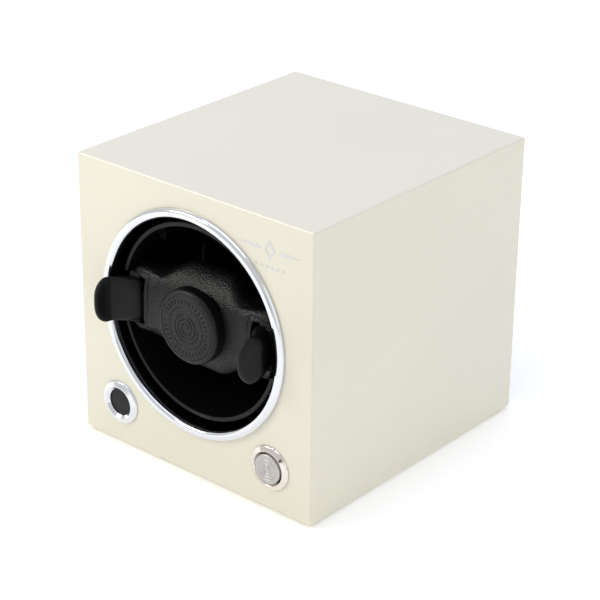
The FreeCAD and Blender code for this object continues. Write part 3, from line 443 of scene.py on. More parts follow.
def rubber(settings):
    """Soft-touch moulded rubber: nearly matt, with a very fine tooth."""
    colour = tuple(settings.rubber_colour)
    made = Finish("lever_rubber", Specular_IOR_Level=0.22)
    drift = made.remap(made.noise(90.0), 0.3, 0.7, 0, 1)
    made.colour(made.blend(drift, tint(colour, 0.92), tint(colour, 1.08)))
    made.roughness(made.remap(made.noise(600.0), 0.3, 0.7, 0.42, 0.48))
    made.bump(made.noise(3500.0, detail=2.0), 0.01 * MM, 0.5)
    return made.material


def felt():
    """Pressed wool felt in ivory: matted fibres in tone and relief."""
    made = Finish("base_felt", Sheen_Weight=0.3, Sheen_Roughness=0.6, Roughness=0.95)
    fibre = made.noise(1400.0, detail=6.0, roughness=0.7, stretch=(1, 0.35, 1))
    made.colour(made.blend(made.remap(fibre, 0.3, 0.7, 0, 1), (0.62, 0.60, 0.52), (0.80, 0.78, 0.70)))
    made.bump(fibre, 0.3 * MM, 0.8)
    return made.material


def bare_wood():
    """Planed softwood: growth rings as stretched bands, and fine pores."""
    made = Finish("block_wood")
    rings = made.tree.nodes.new("ShaderNodeTexWave")
    rings.inputs["Scale"].default_value = 90.0
    rings.inputs["Distortion"].default_value = 3.5
    made.link(made.stretched((1, 0.2, 1)), rings.inputs["Vector"])
    made.colour(made.blend(rings.outputs["Fac"], (0.42, 0.27, 0.13), (0.66, 0.48, 0.28)))
    made.roughness(made.remap(made.noise(900.0, stretch=(1, 0.1, 1)), 0.3, 0.7, 0.55, 0.75))
    made.bump(rings.outputs["Fac"], 0.03 * MM, 0.5)
    return made.material


def smoked_lens():
    """Smoked lens: dark and polished, over a fine dimpled back that shows as a faint dot pattern."""
    made = Finish("smoked_lens", Coat_Weight=0.05, Coat_Roughness=0.08, Specular_IOR_Level=0.2)
    dots = made.remap(made.cells(2600.0), 0.15, 0.6, 1, 0)
    made.colour(made.blend(dots, (0.008, 0.007, 0.008), (0.024, 0.021, 0.024)))
    made.roughness(made.remap(dots, 0, 1, 0.5, 0.36))
    return made.material


def board_laminate():
    """Circuit board: green mask over a grid of copper tracks that stands slightly proud."""
    made = Finish("board_laminate", Coat_Weight=0.3, Coat_Roughness=0.2)
    tracks = made.tree.nodes.new("ShaderNodeTexBrick")
    tracks.inputs["Scale"].default_value = 260.0
    tracks.inputs["Mortar Size"].default_value = 0.06
    swap = made.tree.nodes.new("ShaderNodeMapping")
    swap.inputs["Rotation"].default_value = (0, math.pi / 2, 0)
    made.link(made.coordinate, swap.inputs["Vector"])
    made.link(swap.outputs["Vector"], tracks.inputs["Vector"])
    made.colour(made.blend(tracks.outputs["Fac"], (0.012, 0.11, 0.045), (0.03, 0.2, 0.08)))
    made.roughness(made.remap(tracks.outputs["Fac"], 0, 1, 0.42, 0.3))
    made.bump(tracks.outputs["Fac"], 0.03 * MM, 0.6)
    return made.material


# ---------------- settings
def colour_property(name, description, default):
    return FloatVectorProperty(
        name=name, description=description, default=default, subtype="COLOR", size=3, min=0.0, max=1.0
    )


def length_property(name, description, default):
    return FloatProperty(name=name, description=description, default=default, unit="LENGTH", precision=5)


def angle_property(name, description, degrees):
    return FloatProperty(name=name, description=description, default=math.radians(degrees), subtype="ANGLE")


class WINDER_PG_finish(bpy.types.PropertyGroup):
    lacquer_colour: colour_property("Lacquer", "Colour of the cabinet's lacquer", (0.702, 0.670, 0.548))
    leather_colour: colour_property("Leather", "Colour of the holder's leather", (0.0035, 0.0035, 0.004))
    rubber_colour: colour_property("Rubber", "Colour of the finger levers", (0.0022, 0.0022, 0.0025))
    chrome_colour: colour_property("Chrome", "Colour of the bezel and lamp trim", (0.73, 0.74, 0.765))
    nickel_colour: colour_property("Nickel", "Colour of the button trim", (0.76, 0.70, 0.65))
    grain: length_property("Leather grain", "Width of one pebble of the leather", 1.05 * MM)


class WINDER_PG_pad(bpy.types.PropertyGroup):
    end_half: length_property("End half height", "Half the pad's height at its ends", 17.6 * MM)
    middle_half: length_property("Middle half height", "Half the pad's height at its middle", 24.6 * MM)
    shoulder: length_property("Shoulder", "Distance from the middle where the pad is low again", 27.0 * MM)
    crest: length_property("Crest", "Distance from the middle where the pad starts to fall", 11.0 * MM)
    widest: length_property("Widest depth", "Depth behind the front face where the pad is tallest", 9.5 * MM)
    swell: length_property("Swell", "Most that the leather may bulge over its foam", 0.9 * MM)
    frames: IntProperty(name="Frames", description="Steps of the leather's simulation", default=20)


class WINDER_PG_stage(bpy.types.PropertyGroup):
    azimuth: angle_property("Azimuth", "The camera's angle round the object", 40.2294)
    elevation: angle_property("Elevation", "The camera's angle above the horizon", 25.2515)
    roll: angle_property("Roll", "The camera's turn about its own line of sight", 0.6854)
    place: FloatVectorProperty(
        name="Camera", description="Where the camera stands", default=(0.55904, -0.66237, 0.47180),
        subtype="TRANSLATION"
    )
    lens: FloatProperty(name="Lens", description="The camera's focal length", default=121.885, unit="CAMERA")
    sky: FloatProperty(name="Sky", description="Strength of the light from all round", default=0.75)


# ---------------- pieces
def felt_mesh():
    """Base felt: a thin slab closed over its top and underside, whose edge is rounded like half a circle.

    The outline is a superellipse of power 24, a square with rounded corners, and each ring is the outline
    scaled about its middle. The edge bulges by half the thickness times sin(q) while its height is the
    thickness times half of 1 - cos(q), for q from 0 to pi.
    """
    lo, hi = (np.array(corner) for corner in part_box("base_felt"))
    half, middle, thick = (hi - lo)[:2] / 2, (hi + lo)[:2] / 2, hi[2] - lo[2]
    inner_ring = 20 * MM
    a = np.linspace(0, 2 * math.pi, 480, endpoint=False)
    outline = np.stack([np.sign(np.cos(a)) * np.abs(np.cos(a)) ** (1 / 12),
                        np.sign(np.sin(a)) * np.abs(np.sin(a)) ** (1 / 12)], -1)
    q = np.linspace(0, math.pi, 9)
    inset = np.concatenate([[half[1], inner_ring], 0.5 * thick * (1 - np.sin(q)), [inner_ring, half[1]]])
    z = np.concatenate([[lo[2], lo[2]], lo[2] + thick * (1 - np.cos(q)) / 2, [hi[2], hi[2]]])
    scale = 1 - inset[:, None] / half[1]
    flat = middle + outline[None] * half * scale[..., None]
    points = np.concatenate([flat, np.broadcast_to(z[:, None, None], (len(z), len(a), 1))], -1)
    return new_object("felt_pad", grid_mesh("felt_pad", points))


def bezel_mesh():
    """Bezel: a ring turned from a flat-backed section whose face is half a superellipse.

    Across the face, at angle p from 0 to pi, the radius is c + a cos(p)^0.85 and the height h sin(p)^0.85,
    with the signs kept, where c is the ring's middle radius, a its half width and h how far it stands proud.
    """
    power = 0.85
    middle, half, proud = (BEZEL_BORE + BEZEL_R) / 2, (BEZEL_R - BEZEL_BORE) / 2, FRONT - BEZEL_LO.y
    p = np.linspace(0, math.pi, 48)
    across = np.sign(np.cos(p)) * np.abs(np.cos(p)) ** power
    face = [(middle + half * u, FRONT - proud * abs(math.sin(a)) ** power, 0) for u, a in zip(across, p)]
    end = FRONT + BEZEL_SPIGOT_DEPTH
    back = [(BEZEL_BORE, end, 0), (BEZEL_SPIGOT_R, end, 0), (BEZEL_SPIGOT_R, FRONT, 0)]
    return turned("bezel_ring", face + back, 0.0, AXIS_Z, segments=720, step=0.6 * MM)


def trim_mesh(name, lo, hi, bore, crest):
    """Corner trim: a shallow cone rises from the rim to a rounded crest and falls into the bore."""
    x, z = midpoint(lo, hi)
    radius = (hi.x - lo.x) / 2
    corners = [
        (bore, FRONT + TRIM_NECK_DEPTH, 0),
        (bore, FRONT - 0.55 * MM, 0.25 * MM),
        (crest, lo.y, 0.45 * MM),
        (radius - 0.35 * MM, FRONT - 0.95 * MM, 0.5 * MM),
        (radius, FRONT - 0.35 * MM, 0.3 * MM),
        (radius, FRONT, 0),
        (TRIM_NECK_R, FRONT, 0),
        (TRIM_NECK_R, FRONT + TRIM_NECK_DEPTH, 0),
    ]
    return turned(name, corners, x, z, segments=192, arc_steps=10, step=0.15 * MM)


def spring_mesh():
    """Button spring: a round wire carried along a helix, with its two ends closed to a point.

    At angle a the wire's centre stands at the coil's radius from the axis and goes back evenly with a. Its
    section is a circle in the plane of the axis and that radius, shrunk like a quarter ellipse at each end.
    """
    x0, z0 = midpoint(SPRING_LO, SPRING_HI)
    coil = (SPRING_HI.x - SPRING_LO.x) / 2 - SPRING_WIRE
    share = (1 - np.cos(np.linspace(0, math.pi, 260))) / 2
    a = share[:, None] * SPRING_TURNS * 2 * math.pi
    from_end = np.clip(np.minimum(share, 1 - share) / 0.004, 0, 1)
    wire_r = SPRING_WIRE * np.sqrt(1 - (1 - from_end) ** 2)[:, None]
    q = np.linspace(0, 2 * math.pi, 14, endpoint=False)
    reach = coil + wire_r * np.cos(q)
    length = SPRING_HI.y - SPRING_LO.y - 2 * SPRING_WIRE
    back = SPRING_LO.y + SPRING_WIRE + length * share[:, None] + wire_r * np.sin(q)
    points = np.stack([x0 + reach * np.cos(a), back, z0 + reach * np.sin(a)], -1)
    return new_object("button_coil", grid_mesh("button_coil", points))


def spiral_distance(r, a, inner, outer, turns):
    """Distance from a polar point to a flat spiral whose radius grows evenly from inner to outer."""
    pitch = (outer - inner) / turns
    arm = (r - inner) / pitch - a / (2 * math.pi)
    nearest = np.clip(np.round(arm), 0, turns - 1)
    spiral_r = inner + pitch * (nearest + a / (2 * math.pi))
    return np.abs(r - spiral_r)


def tick_mask(r, a, count, inner, outer, half_width):
    """1 on evenly spaced radial bars between two radii, falling to 0 over their rounded edges."""
    step = 2 * math.pi / count
    across = np.abs((a + step / 2) % step - step / 2) * r
    side = groove(across, 2 * half_width)
    soft = 0.12 * MM
    ends = smoothstep(r, inner - soft, inner + soft) * (1 - smoothstep(r, outer - soft, outer + soft))
    return side * ends


def boss_mesh():
    """Boss: a disc whose face height is a function of radius and angle.

    The face is flat, rolls over a rounded edge and drops down the side. Engraved into it are two rings, a
    track of bars between them, and a flat hairspring spiral round a small dot in the middle.
    """
    radius, edge = (BOSS_HI.x - BOSS_LO.x) / 2, 2.3 * MM
    face_y, back_y = BOSS_LO.y, FRONT + 2.4 * MM
    r_face = np.linspace(0, radius - edge, 132)
    roll = np.linspace(0, math.pi / 2, 13)[1:]
    side = np.linspace(face_y + edge, back_y, 6)[1:]
    r = np.concatenate([
        r_face, radius - edge + edge * np.sin(roll), np.full(5, radius), [radius - 1.0 * MM, 0.0]
    ])
    y = np.concatenate([
        np.full(len(r_face), face_y), face_y + edge * (1 - np.cos(roll)), side, [back_y + 0.25 * MM] * 2
    ])
    angle = np.linspace(0, 2 * math.pi, 540, endpoint=False)
    rr, aa = np.meshgrid(r, angle, indexing="ij")
    outer_ring, inner_ring, ring_width = 15.0 * MM, 10.0 * MM, 0.55 * MM
    depth = 0.30 * groove(np.abs(rr - outer_ring), ring_width)
    depth = np.maximum(depth, 0.30 * groove(np.abs(rr - inner_ring), ring_width))
    depth = np.maximum(depth, 0.38 * tick_mask(rr, aa, 36, 11.6 * MM, 13.6 * MM, 0.4 * MM))
    coil = spiral_distance(rr, aa, 1.6 * MM, 7.6 * MM, 3) / MM
    depth = np.maximum(depth, 0.38 * groove(coil, 0.8) * ((rr > 1.5 * MM) & (rr < 7.7 * MM)))
    yy = y[:, None] + depth * MM * (np.arange(len(r)) < len(r_face))[:, None]
    x0, z0 = midpoint(BOSS_LO, BOSS_HI)
    points = np.stack([x0 + rr * np.cos(aa), yy, z0 + rr * np.sin(aa)], -1)
    return new_object("boss_disc", grid_mesh("boss_disc", points))


def cap_mesh():
    """Button cap: a disc with a rounded edge. Over radius and angle its face has a ring and a spiral cut in."""
    x0, z0 = midpoint(CAP_LO, CAP_HI)
    radius, edge = (CAP_HI.x - CAP_LO.x) / 2, 0.55 * MM
    r_face = np.linspace(0, radius - edge, 72)
    roll = np.linspace(0, math.pi / 2, 8)[1:]
    r = np.concatenate([r_face, radius - edge + edge * np.sin(roll), [radius, radius - 0.4 * MM, 0.0]])
    y = np.concatenate([
        np.full(72, CAP_LO.y), CAP_LO.y + edge * (1 - np.cos(roll)),
        [FRONT + 1.3 * MM, FRONT + 1.6 * MM, FRONT + 1.6 * MM],
    ])
    angle = np.linspace(0, 2 * math.pi, 300, endpoint=False)
    rr, aa = np.meshgrid(r, angle, indexing="ij")
    depth = 0.26 * groove(np.abs(rr - 4.9 * MM), 0.6 * MM)
    coil = spiral_distance(rr, aa, 0.8 * MM, 3.6 * MM, 3) / MM
    depth = np.maximum(depth, 0.22 * groove(coil, 0.6) * ((rr > 0.75 * MM) & (rr < 3.65 * MM)))
    yy = y[:, None] + depth * MM * (np.arange(len(r)) < 72)[:, None]
    points = np.stack([x0 + rr * np.cos(aa), yy, z0 + rr * np.sin(aa)], -1)
    return new_object("button_face", grid_mesh("button_face", points))


def pad_surface(pad):
    """The pad's base surface before it is upholstered.

    Along the pad the half height is a smooth wave, low at the ends and high in the middle. Round the pad each
    section is a superellipse, tight at the front and longer to the back. Towards each end the section closes
    as a steep superellipse, and no point lies outside the drum's inner circle.
    """
    inset = pad.swell * 0.5
    s = np.sin(np.linspace(-math.pi / 2, math.pi / 2, 140))
    phi = np.linspace(0, 2 * math.pi, 120, endpoint=False)
    ss, pp = np.meshgrid(s, phi, indexing="ij")
    x = ss * PAD_REACH
    fall = smoothstep(np.abs(x), pad.crest, pad.shoulder)
    half = pad.middle_half + (pad.end_half - pad.middle_half) * fall - inset
    close = (1 - np.abs(ss) ** 16) ** (1 / 10)
    soft = (1 - 0.6 * fall) * smoothstep(np.sin(pp), -0.1, 0.4)
    power = 4.0 - 1.9 * soft
    z = half * close * np.sign(np.sin(pp)) * np.abs(np.sin(pp)) ** (2 / power)
    front_depth = 2.3 * MM + 0.5 * MM * fall + inset
    back_depth = PAD_BACK - FRONT - 0.5 * MM - inset
    widest = pad.widest + 7.0 * MM * soft
    towards = np.sign(np.cos(pp)) * np.abs(np.cos(pp)) ** (2 / (power - 0.4))
    depth = np.where(
        towards > 0, widest - (widest - front_depth) * towards, widest - (back_depth - widest) * towards
    )
    middle = (front_depth + back_depth) / 2
    depth = middle + (depth - middle) * (0.35 + 0.65 * close)
    limit = np.sqrt(np.maximum(DRUM_ROOM_R**2 - z**2, 0))
    x = np.clip(x, -limit, limit)
    return np.stack([x, FRONT + depth, AXIS_Z + z], -1)


def upholster(piece, pad):
    """Swells the closed surface like leather over foam: cloth under pressure, each point's move capped."""
    even_skin(piece, 1.7 * MM)
    before = points_of(piece.data)
    cloth = piece.modifiers.new("leather", "CLOTH")
    cloth.settings.use_pressure = True
    cloth.settings.uniform_pressure_force = 4.0
    cloth.settings.effector_weights.gravity = 0.0
    cloth.point_cache.frame_start = 1
    cloth.point_cache.frame_end = pad.frames
    scene = bpy.context.scene
    for number in range(1, pad.frames + 1):
        scene.frame_set(number)
    apply_modifiers(piece)
    scene.frame_set(1)
    move = points_of(piece.data) - before
    size = np.linalg.norm(move, axis=1, keepdims=True)
    capped = move * np.minimum(1.0, pad.swell / np.maximum(size, 1e-9))
    set_points(piece.data, before + capped)


def cut_slots(piece):
    """Cuts the two lever slots out of the pad's ends with boxes."""
    work = bmesh.new()
    for side in (-1, 1):
        made = bmesh.ops.create_cube(work, size=1.0)
        size = Vector((27.4 * MM, 24 * MM, 2 * SLOT_HALF_Z))
        centre = Vector((side * (SLOT_X + size.x / 2), FRONT + SLOT_DEPTH - size.y / 2, AXIS_Z))
        bmesh.ops.scale(work, vec=size, verts=made["verts"])
        bmesh.ops.translate(work, vec=centre, verts=made["verts"])
    bmesh.ops.recalc_face_normals(work, faces=work.faces)
    mesh = bpy.data.meshes.new("slot_cutter")
    work.to_mesh(mesh)
    work.free()
    cutter = new_object("slot_cutter", mesh)
    cut = piece.modifiers.new("slots", "BOOLEAN")
    cut.operation = "DIFFERENCE"
    cut.object = cutter
    cut.solver = "EXACT"
    apply_modifiers(piece)
    bpy.data.objects.remove(cutter)


def emboss_pad(piece):
    """Presses a line round each slot into the leather, and adds shallow drawn creases at the shoulders."""
    mesh = piece.data
    co, normal = points_of(mesh), normals_of(mesh)
    x, depth, z = np.abs(co[:, 0]), co[:, 1] - FRONT, co[:, 2] - AXIS_Z
    edge_x, edge_z = SLOT_X - PRESSED_LINE_GAP, SLOT_HALF_Z + PRESSED_LINE_GAP
    up = np.abs(np.where(x > edge_x, np.abs(z) - edge_z, 1.0))
    across = np.abs(np.where(np.abs(z) < edge_z, x - edge_x, 1.0))
    line = groove(np.minimum(up, across), 1.0 * MM) * (depth < 6.5 * MM)
    crease = np.sin((co[:, 0] * 0.6 + z * 0.9) / (1.9 * MM) + 1.3 * np.sin(co[:, 0] / (6 * MM)))
    zone = np.exp(-(((x - 25 * MM) / (5 * MM)) ** 2)) * smoothstep(np.abs(z), 9 * MM, 16 * MM)
    drop = 0.45 * MM * line + 0.09 * MM * (crease + 1) * zone
    set_points(mesh, co - normal * drop[:, None])


def pad_mesh(pad):
    """The holder's pad: base surface, simulated leather, slots, an even fine mesh, and pressed lines."""
    piece = new_object("leather_pad", grid_mesh("leather_pad", pad_surface(pad)))
    upholster(piece, pad)
    fine = piece.modifiers.new("rounding", "SUBSURF")
    fine.levels = fine.render_levels = 1
    apply_modifiers(piece)
    cut_slots(piece)
    even_skin(piece, 0.5 * MM, smoothing=5)
    emboss_pad(piece)
    return smooth_shaded(piece)


# A lever's two faces in plan, in millimetres outwards and forwards from its pin.
INNER_FACE = [
    (-5.0, -2.0), (-6.0, 2.0), (-5.7, 4.4), (-3.4, 7.0), (1.0, 9.0), (4.6, 10.8), (5.9, 13.6), (6.6, 16.8),
    (7.2, 20.0),
]
OUTER_FACE = [
    (3.0, -1.6), (3.8, 1.4), (5.6, 3.6), (7.8, 5.8), (9.0, 8.2), (9.4, 10.8), (9.6, 13.4), (9.8, 16.0),
    (10.1, 18.4),
]


def lever_surface(side):
    """A finger lever's paddle at full spread.

    In plan its inner and outer faces are two smooth curves from the pin to the tip: the inner one rolls out
    of the slot in a broad bulge, then bends outwards. Each section between them is a superellipse, taller
    than thick, and the height closes towards the tip as another superellipse.
    """
    knots = np.arange(len(INNER_FACE), dtype=float)
    last = knots[-1]
    slowing = 0.78 + 0.22 * np.sin(np.linspace(0, math.pi / 2, 36))[1:]
    t = np.concatenate([np.linspace(0, 0.78, 60), slowing]) * last
    inner = np.stack([natural_curve(knots, np.array(INNER_FACE)[:, k], t) for k in (0, 1)], 1)
    outer = np.stack([natural_curve(knots, np.array(OUTER_FACE)[:, k], t) for k in (0, 1)], 1)
    forward = (inner[:, 1] + outer[:, 1]) / 2
    tip_start = 9.6
    tip = np.clip((forward - tip_start) / (forward[-1] - tip_start), 0, 1)
    root = np.clip(1 - (forward - forward[0]) / 2.0, 0, 1)
    half = (10.8 + 0.7 * smoothstep(forward, 9, 14)) * (1 - tip**2.5) ** (1 / 2.5) * (1 - root**3) ** (1 / 3)
    thick = (1 - tip**24) ** (1 / 2) * (1 - root**3) ** (1 / 3)
    phi = np.linspace(0, 2 * math.pi, 80, endpoint=False)
    square = 3.4 + 1.4 * smoothstep(forward, 4, 10)[:, None]
    lift = half[:, None] * np.sign(np.sin(phi)) * np.abs(np.sin(phi)) ** (2 / square)
    out = thick[:, None] * np.sign(np.cos(phi)) * np.abs(np.cos(phi)) ** (2 / 2.6)
    plan = ((inner + outer)[:, None, :] + (outer - inner)[:, None, :] * out[..., None]) / 2
    return place_on_pin(plan[..., 0], plan[..., 1], lift, side)


def natural_curve(knots, values, at):
    """A smooth curve through the values: a cubic Hermite whose slopes are the neighbours' mean slope."""
    slope = np.gradient(values, knots)
    k = np.clip(np.searchsorted(knots, at, side="right") - 1, 0, len(knots) - 2)
    span = knots[k + 1] - knots[k]
    u = (at - knots[k]) / span
    return (
        (2 * u**3 - 3 * u**2 + 1) * values[k] + (u**3 - 2 * u**2 + u) * span * slope[k]
        + (-2 * u**3 + 3 * u**2) * values[k + 1] + (u**3 - u**2) * span * slope[k + 1]
    )


def place_on_pin(outwards, forwards, up, side):
    """Millimetres outwards, forwards and up from a lever's pin, as points in the frame."""
    return np.stack([side * (PIN_X + outwards * MM), PIN_Y - forwards * MM, AXIS_Z + up * MM], -1)


def barrel_surface(outwards, forwards, radius, half, rounding, side):
    """An upright round post with rounded ends, turned about its own line near the lever's pin."""
    corner = np.linspace(0, math.pi / 2, 7)
    r_end = radius - rounding + rounding * np.sin(corner)
    z_end = half - rounding + rounding * np.cos(corner)
    r = np.concatenate([[0.0], r_end, r_end[::-1], [0.0]])
    z = np.concatenate([[half], z_end, -z_end[::-1], [-half]])
    angle = np.linspace(0, 2 * math.pi, 40, endpoint=False)
    rr, aa = np.meshgrid(r, angle, indexing="ij")
    zz = np.broadcast_to(z[:, None], rr.shape)
    return place_on_pin(outwards + rr * np.cos(aa), forwards + rr * np.sin(aa), zz, side)


def lever_mesh(side, turn_deg):
    """A finger lever: paddle, neck and knuckle melted into one skin, then turned about its pin."""
    name = "left_finger_lever" if side < 0 else "right_finger_lever"
    parts = {
        "paddle": lever_surface(side),
        "neck": barrel_surface(0.2, 4.0, 3.6, 10.5, 3.5, side),
        "knuckle": barrel_surface(0.0, 0.0, 3.4, 9.7, 0.8, side),
    }
    work = bmesh.new()
    for part, points in parts.items():
        work.from_mesh(grid_mesh(part, points))
    mesh = bpy.data.meshes.new(name)
    work.to_mesh(mesh)
    work.free()
    piece = new_object(name, mesh)
    even_skin(piece, 0.3 * MM, smoothing=7)
    pin = Vector((side * PIN_X, PIN_Y, 0))
    turn = Matrix.Rotation(math.radians(turn_deg), 4, "Z")
    piece.data.transform(Matrix.Translation(pin) @ turn @ Matrix.Translation(-pin))
    return smooth_shaded(piece)


# ---------------- operators
class WINDER_OT_cabinet(bpy.types.Operator):
    """Give the cabinet's boards, base and back their finishes"""

    bl_idname = "winder.cabinet"
    bl_label = "Cabinet"

    def execute(self, context):
        settings = context.scene.winder_finish
        coat = lacquer(settings)
        for node in ("front_panel", "top_panel", "bottom_panel", "left_panel", "right_panel"):
            paint(NODES[node], coat)
        pad = felt_mesh()
        finish_piece(pad, "cabinet", felt(), ["base_felt"])
        finishes = {
            "back_cover": moulded("cover_board", (0.035, 0.035, 0.037), 0.5, 0.62, 700.0, 0.04),
            "corner_blocks": bare_wood(),
            "front_emblem": satin_metal("emblem_silver", (0.60, 0.60, 0.60), 0.3, 0.42),
        }
        for node, material in finishes.items():
            paint(NODES[node], material)
        return {"FINISHED"}


class WINDER_OT_mouth(bpy.types.Operator):
    """Build the chrome bezel and finish the can and drum behind it"""

    bl_idname = "winder.mouth"
    bl_label = "Mouth and drum"

    def execute(self, context):
        settings = context.scene.winder_finish
        chrome = polished("polished_chrome", tuple(settings.chrome_colour))
        finish_piece(bezel_mesh(), "cabinet", chrome, ["front_bezel"])
        for node, material in {
            "drum_can": moulded("can_gloss_black", (0.004, 0.004, 0.0045), 0.2, 0.28, 1200.0, 0.006),
            "drum": drum_finish(),
        }.items():
            paint(NODES[node], material)
        return {"FINISHED"}


class WINDER_OT_corners(bpy.types.Operator):
    """Build the lamp window and the push button"""

    bl_idname = "winder.corners"
    bl_label = "Lamp window and button"

    def execute(self, context):
        settings = context.scene.winder_finish
        chrome = polished("lamp_chrome", tuple(settings.chrome_colour), 0.12, 0.18)
        nickel = polished("warm_nickel", tuple(settings.nickel_colour), 0.08, 0.14)
        satin = satin_metal("satin_nickel", (0.52, 0.50, 0.49), 0.36, 0.46)
        lamp = trim_mesh("lamp_bezel", LAMP_LO, LAMP_HI, 6.6 * MM, 8.0 * MM)
        finish_piece(lamp, "cabinet", chrome, ["lamp_trim"])
        x, z = midpoint(LENS_LO, LENS_HI)
        radius = (LENS_HI.x - LENS_LO.x) / 2
        lens = turned(
            "lamp_window",
            [(0, LENS_LO.y + 0.05 * MM, 0), (radius, LENS_LO.y + 0.35 * MM, 0.2 * MM), (radius, LENS_HI.y, 0),
             (0, LENS_HI.y, 0)],
            x, z, segments=128, closed=False,
        )
        finish_piece(lens, "cabinet", smoked_lens(), ["lamp_lens"])
        trim = trim_mesh("button_bezel", BUTTON_LO, BUTTON_HI, 7.27 * MM, 8.4 * MM)
        finish_piece(trim, "cabinet", nickel, ["button_trim"])
        finish_piece(cap_mesh(), "push_button", satin, ["button_cap"])
        steel = polished("spring_steel", (0.56, 0.56, 0.57), 0.2, 0.3)
        spring = finish_piece(spring_mesh(), "cabinet", steel, ["button_spring"])
        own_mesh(spring)
        return {"FINISHED"}


class WINDER_OT_pad(bpy.types.Operator):
    """Build the leather pad of the watch holder"""

    bl_idname = "winder.pad"
    bl_label = "Leather pad"

    def execute(self, context):
        scene = context.scene
        piece = pad_mesh(scene.winder_pad)
        skin = leather("black_leather", scene.winder_finish)
        finish_piece(piece, "watch_holder", skin, ["holder_pad"])
        return {"FINISHED"}


class WINDER_OT_boss(bpy.types.Operator):
    """Build the round engraved boss in the middle of the pad"""

    bl_idname = "winder.boss"
    bl_label = "Boss"

    def execute(self, context):
        skin = leather("boss_leather", context.scene.winder_finish, crease=0.6)
        finish_piece(boss_mesh(), "watch_holder", skin, ["watch_boss"])
        return {"FINISHED"}


class WINDER_OT_levers(bpy.types.Operator):
    """Build the two rubber finger levers"""

    bl_idname = "winder.levers"
    bl_label = "Finger levers"

    def execute(self, context):
        skin = rubber(context.scene.winder_finish)
        finish_piece(lever_mesh(-1, 0.0), "left_lever", skin, ["left_lever"])
        finish_piece(lever_mesh(1, -21.0), "right_lever", skin, ["right_lever"])
        return {"FINISHED"}


class WINDER_OT_works(bpy.types.Operator):
    """Finish the drive, fastenings and electrics inside the cabinet"""

    bl_idname = "winder.works"
    bl_label = "Works"

    def execute(self, context):
        steel = satin_metal("ground_steel", (0.56, 0.56, 0.57), 0.22, 0.34, (1, 0.05, 1))
        zinc = polished("zinc_screws", (0.66, 0.66, 0.62), 0.2, 0.3)
        plate = satin_metal("plate_steel", (0.60, 0.61, 0.63), 0.3, 0.42, (0.1, 1, 1))
        tinned = polished("tinned_brass", (0.72, 0.68, 0.6), 0.18, 0.28)
        black = moulded("black_plastic", (0.02, 0.02, 0.021))
        nylon = moulded("nylon", (0.74, 0.72, 0.66), 0.35, 0.5, 900.0)
        finishes = {
            steel: ["drive_shaft", "output_shaft", "lever_pins", "shaft_clip"],
            zinc: ["back_cover_screws", "can_screws", "carrier_screws", "plate_screws", "gearbox_screws",
                   "board_screws", "boss_screw", "corner_nuts", "power_inlet_nut", "plate_posts"],
            plate: ["motor_plate", "gearbox", "motor_case"],
            tinned: ["power_inlet_tags", "motor_tags", "button_switch_tags"],
            black: ["power_inlet", "lamp_holder", "button_switch", "button_plunger", "board_chips",
                    "holder_back_plate", "leads", "lever_washers"],
            moulded("core_black", (0.003, 0.003, 0.003), 0.6, 0.7): ["holder_core"],
            nylon: ["board_posts", "board_plugs", "drum_pulley", "motor_pulley"],
            satin_metal("carrier_alloy", (0.72, 0.72, 0.73), 0.25, 0.38): ["bearing_carrier"],
            satin_metal("bearing_bronze", (0.55, 0.36, 0.16), 0.35, 0.5): ["front_bearing", "rear_bearing"],
            moulded("belt_rubber", (0.022, 0.022, 0.022), 0.6, 0.75, 2200.0, 0.04): ["drive_belt"],
            moulded("led_resin", (0.7, 0.73, 0.75), 0.06, 0.12, 500.0, 0.002): ["lamp_led"],
            board_laminate(): ["control_board"],
        }
        for material, nodes in finishes.items():
            for node in nodes:
                paint(NODES[node], material)
        return {"FINISHED"}


def area_light(name, place, target, size, power, colour=(1, 1, 1)):
    """A square soft light that faces a point."""
    data = bpy.data.lights.new(name, "AREA")
    data.shape = "RECTANGLE"
    data.size, data.size_y = size
    data.energy = power
    data.color = colour
    lamp = bpy.data.objects.new(name, data)
    lamp.location = place
    lamp.rotation_mode = "QUATERNION"
    lamp.rotation_quaternion = (Vector(target) - Vector(place)).to_track_quat("-Z", "Y")
    bpy.context.scene.collection.objects.link(lamp)


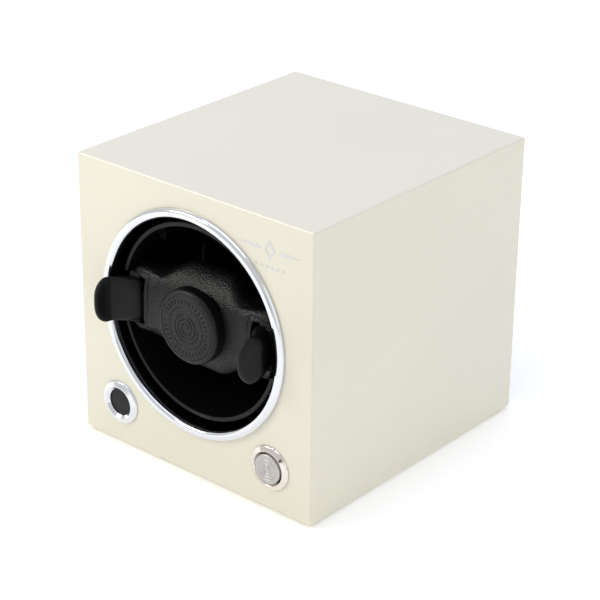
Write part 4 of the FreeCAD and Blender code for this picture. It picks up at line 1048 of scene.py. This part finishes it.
class WINDER_OT_stage(bpy.types.Operator):
    """Set up the floor, the soft lights and the camera"""

    bl_idname = "winder.stage"
    bl_label = "Stage"

    def execute(self, context):
        scene = context.scene
        stage = scene.winder_stage
        side = np.linspace(-6.0, 6.0, 2)
        xx, yy = np.meshgrid(side, side, indexing="ij")
        floor = new_object("floor", grid_mesh("floor", np.stack([xx, yy, 0 * xx], -1), wrap_v=False))
        paper = Finish("floor_paper", Roughness=0.9, Specular_IOR_Level=0.2, Emission_Strength=0.17)
        paper.shader.inputs["Emission Color"].default_value = (0.95, 0.97, 1.0, 1.0)
        paper.colour(paper.blend(paper.noise(3.0, detail=1.0), (0.97, 0.96, 0.90), (0.98, 0.97, 0.91)))
        floor.data.materials.append(paper.material)

        world = bpy.data.worlds.new("studio")
        world.use_nodes = True
        world.node_tree.nodes["Background"].inputs["Color"].default_value = (0.985, 0.99, 1.0, 1.0)
        world.node_tree.nodes["Background"].inputs["Strength"].default_value = stage.sky
        scene.world = world
        centre = (0, 0, 0.07)
        area_light("softbox_key", (-0.80, -0.85, 0.78), centre, (0.5, 0.5), 5.9, (1.0, 0.97, 0.87))
        area_light("softbox_top", (0.0, 0.1, 1.5), centre, (1.3, 1.3), 9.8, (0.60, 0.66, 1.0))
        area_light("softbox_right", (1.4, -0.2, 0.6), centre, (0.8, 1.0), 1.5, (0.9, 0.97, 1.0))
        card = new_object("dark_card", grid_mesh("dark_card", np.array(
            [[[0.0, -1.3, 0.0], [0.0, -1.3, 0.14]], [[0.42, -1.3, 0.0], [0.42, -1.3, 0.14]]]), wrap_v=False))
        black = Finish("card_black", Base_Color=(0.01, 0.01, 0.01, 1.0), Roughness=0.9)
        card.data.materials.append(black.material)

        data = bpy.data.cameras.new("camera")
        data.lens = stage.lens
        data.sensor_width = 36.0
        data.clip_start, data.clip_end = 0.05, 20.0
        camera = bpy.data.objects.new("camera", data)
        scene.collection.objects.link(camera)
        a, e, roll = stage.azimuth, stage.elevation, stage.roll
        back = Vector((math.sin(a) * math.cos(e), -math.cos(a) * math.cos(e), math.sin(e)))
        right = Vector((math.cos(a), math.sin(a), 0))
        up = back.cross(right)
        turned_right = right * math.cos(roll) + up * math.sin(roll)
        turned_up = up * math.cos(roll) - right * math.sin(roll)
        camera.matrix_world = Matrix.Translation(stage.place) @ Matrix(
            (turned_right, turned_up, back)).transposed().to_4x4()
        scene.camera = camera
        scene.view_settings.view_transform = "Standard"
        return {"FINISHED"}


class WINDER_PT_sidebar(bpy.types.Panel):
    """Lists the winder's pieces and settings"""

    bl_idname = "WINDER_PT_sidebar"
    bl_label = "Watch winder"
    bl_space_type = "VIEW_3D"
    bl_region_type = "UI"
    bl_category = "Winder"

    def draw(self, context):
        for group in ("winder_finish", "winder_pad", "winder_stage"):
            settings = getattr(context.scene, group)
            box = self.layout.box()
            for name in settings.__annotations__:
                box.prop(settings, name)
        for operator in OPERATORS:
            self.layout.operator(operator.bl_idname)


OPERATORS = (
    WINDER_OT_cabinet, WINDER_OT_mouth, WINDER_OT_corners, WINDER_OT_pad, WINDER_OT_boss, WINDER_OT_levers,
    WINDER_OT_works, WINDER_OT_stage,
)
GROUPS = (WINDER_PG_finish, WINDER_PG_pad, WINDER_PG_stage)


def register():
    for cls in (*GROUPS, *OPERATORS, WINDER_PT_sidebar):
        bpy.utils.register_class(cls)
    bpy.types.Scene.winder_finish = PointerProperty(type=WINDER_PG_finish)
    bpy.types.Scene.winder_pad = PointerProperty(type=WINDER_PG_pad)
    bpy.types.Scene.winder_stage = PointerProperty(type=WINDER_PG_stage)


def unregister():
    for name in ("winder_finish", "winder_pad", "winder_stage"):
        delattr(bpy.types.Scene, name)
    for cls in (WINDER_PT_sidebar, *OPERATORS[::-1], *GROUPS[::-1]):
        bpy.utils.unregister_class(cls)


def main():
    register()
    bpy.ops.winder.cabinet()
    bpy.ops.winder.mouth()
    bpy.ops.winder.corners()
    bpy.ops.winder.pad()
    bpy.ops.winder.boss()
    bpy.ops.winder.levers()
    bpy.ops.winder.works()
    bpy.ops.winder.stage()


if __name__ == "__main__":
    main()
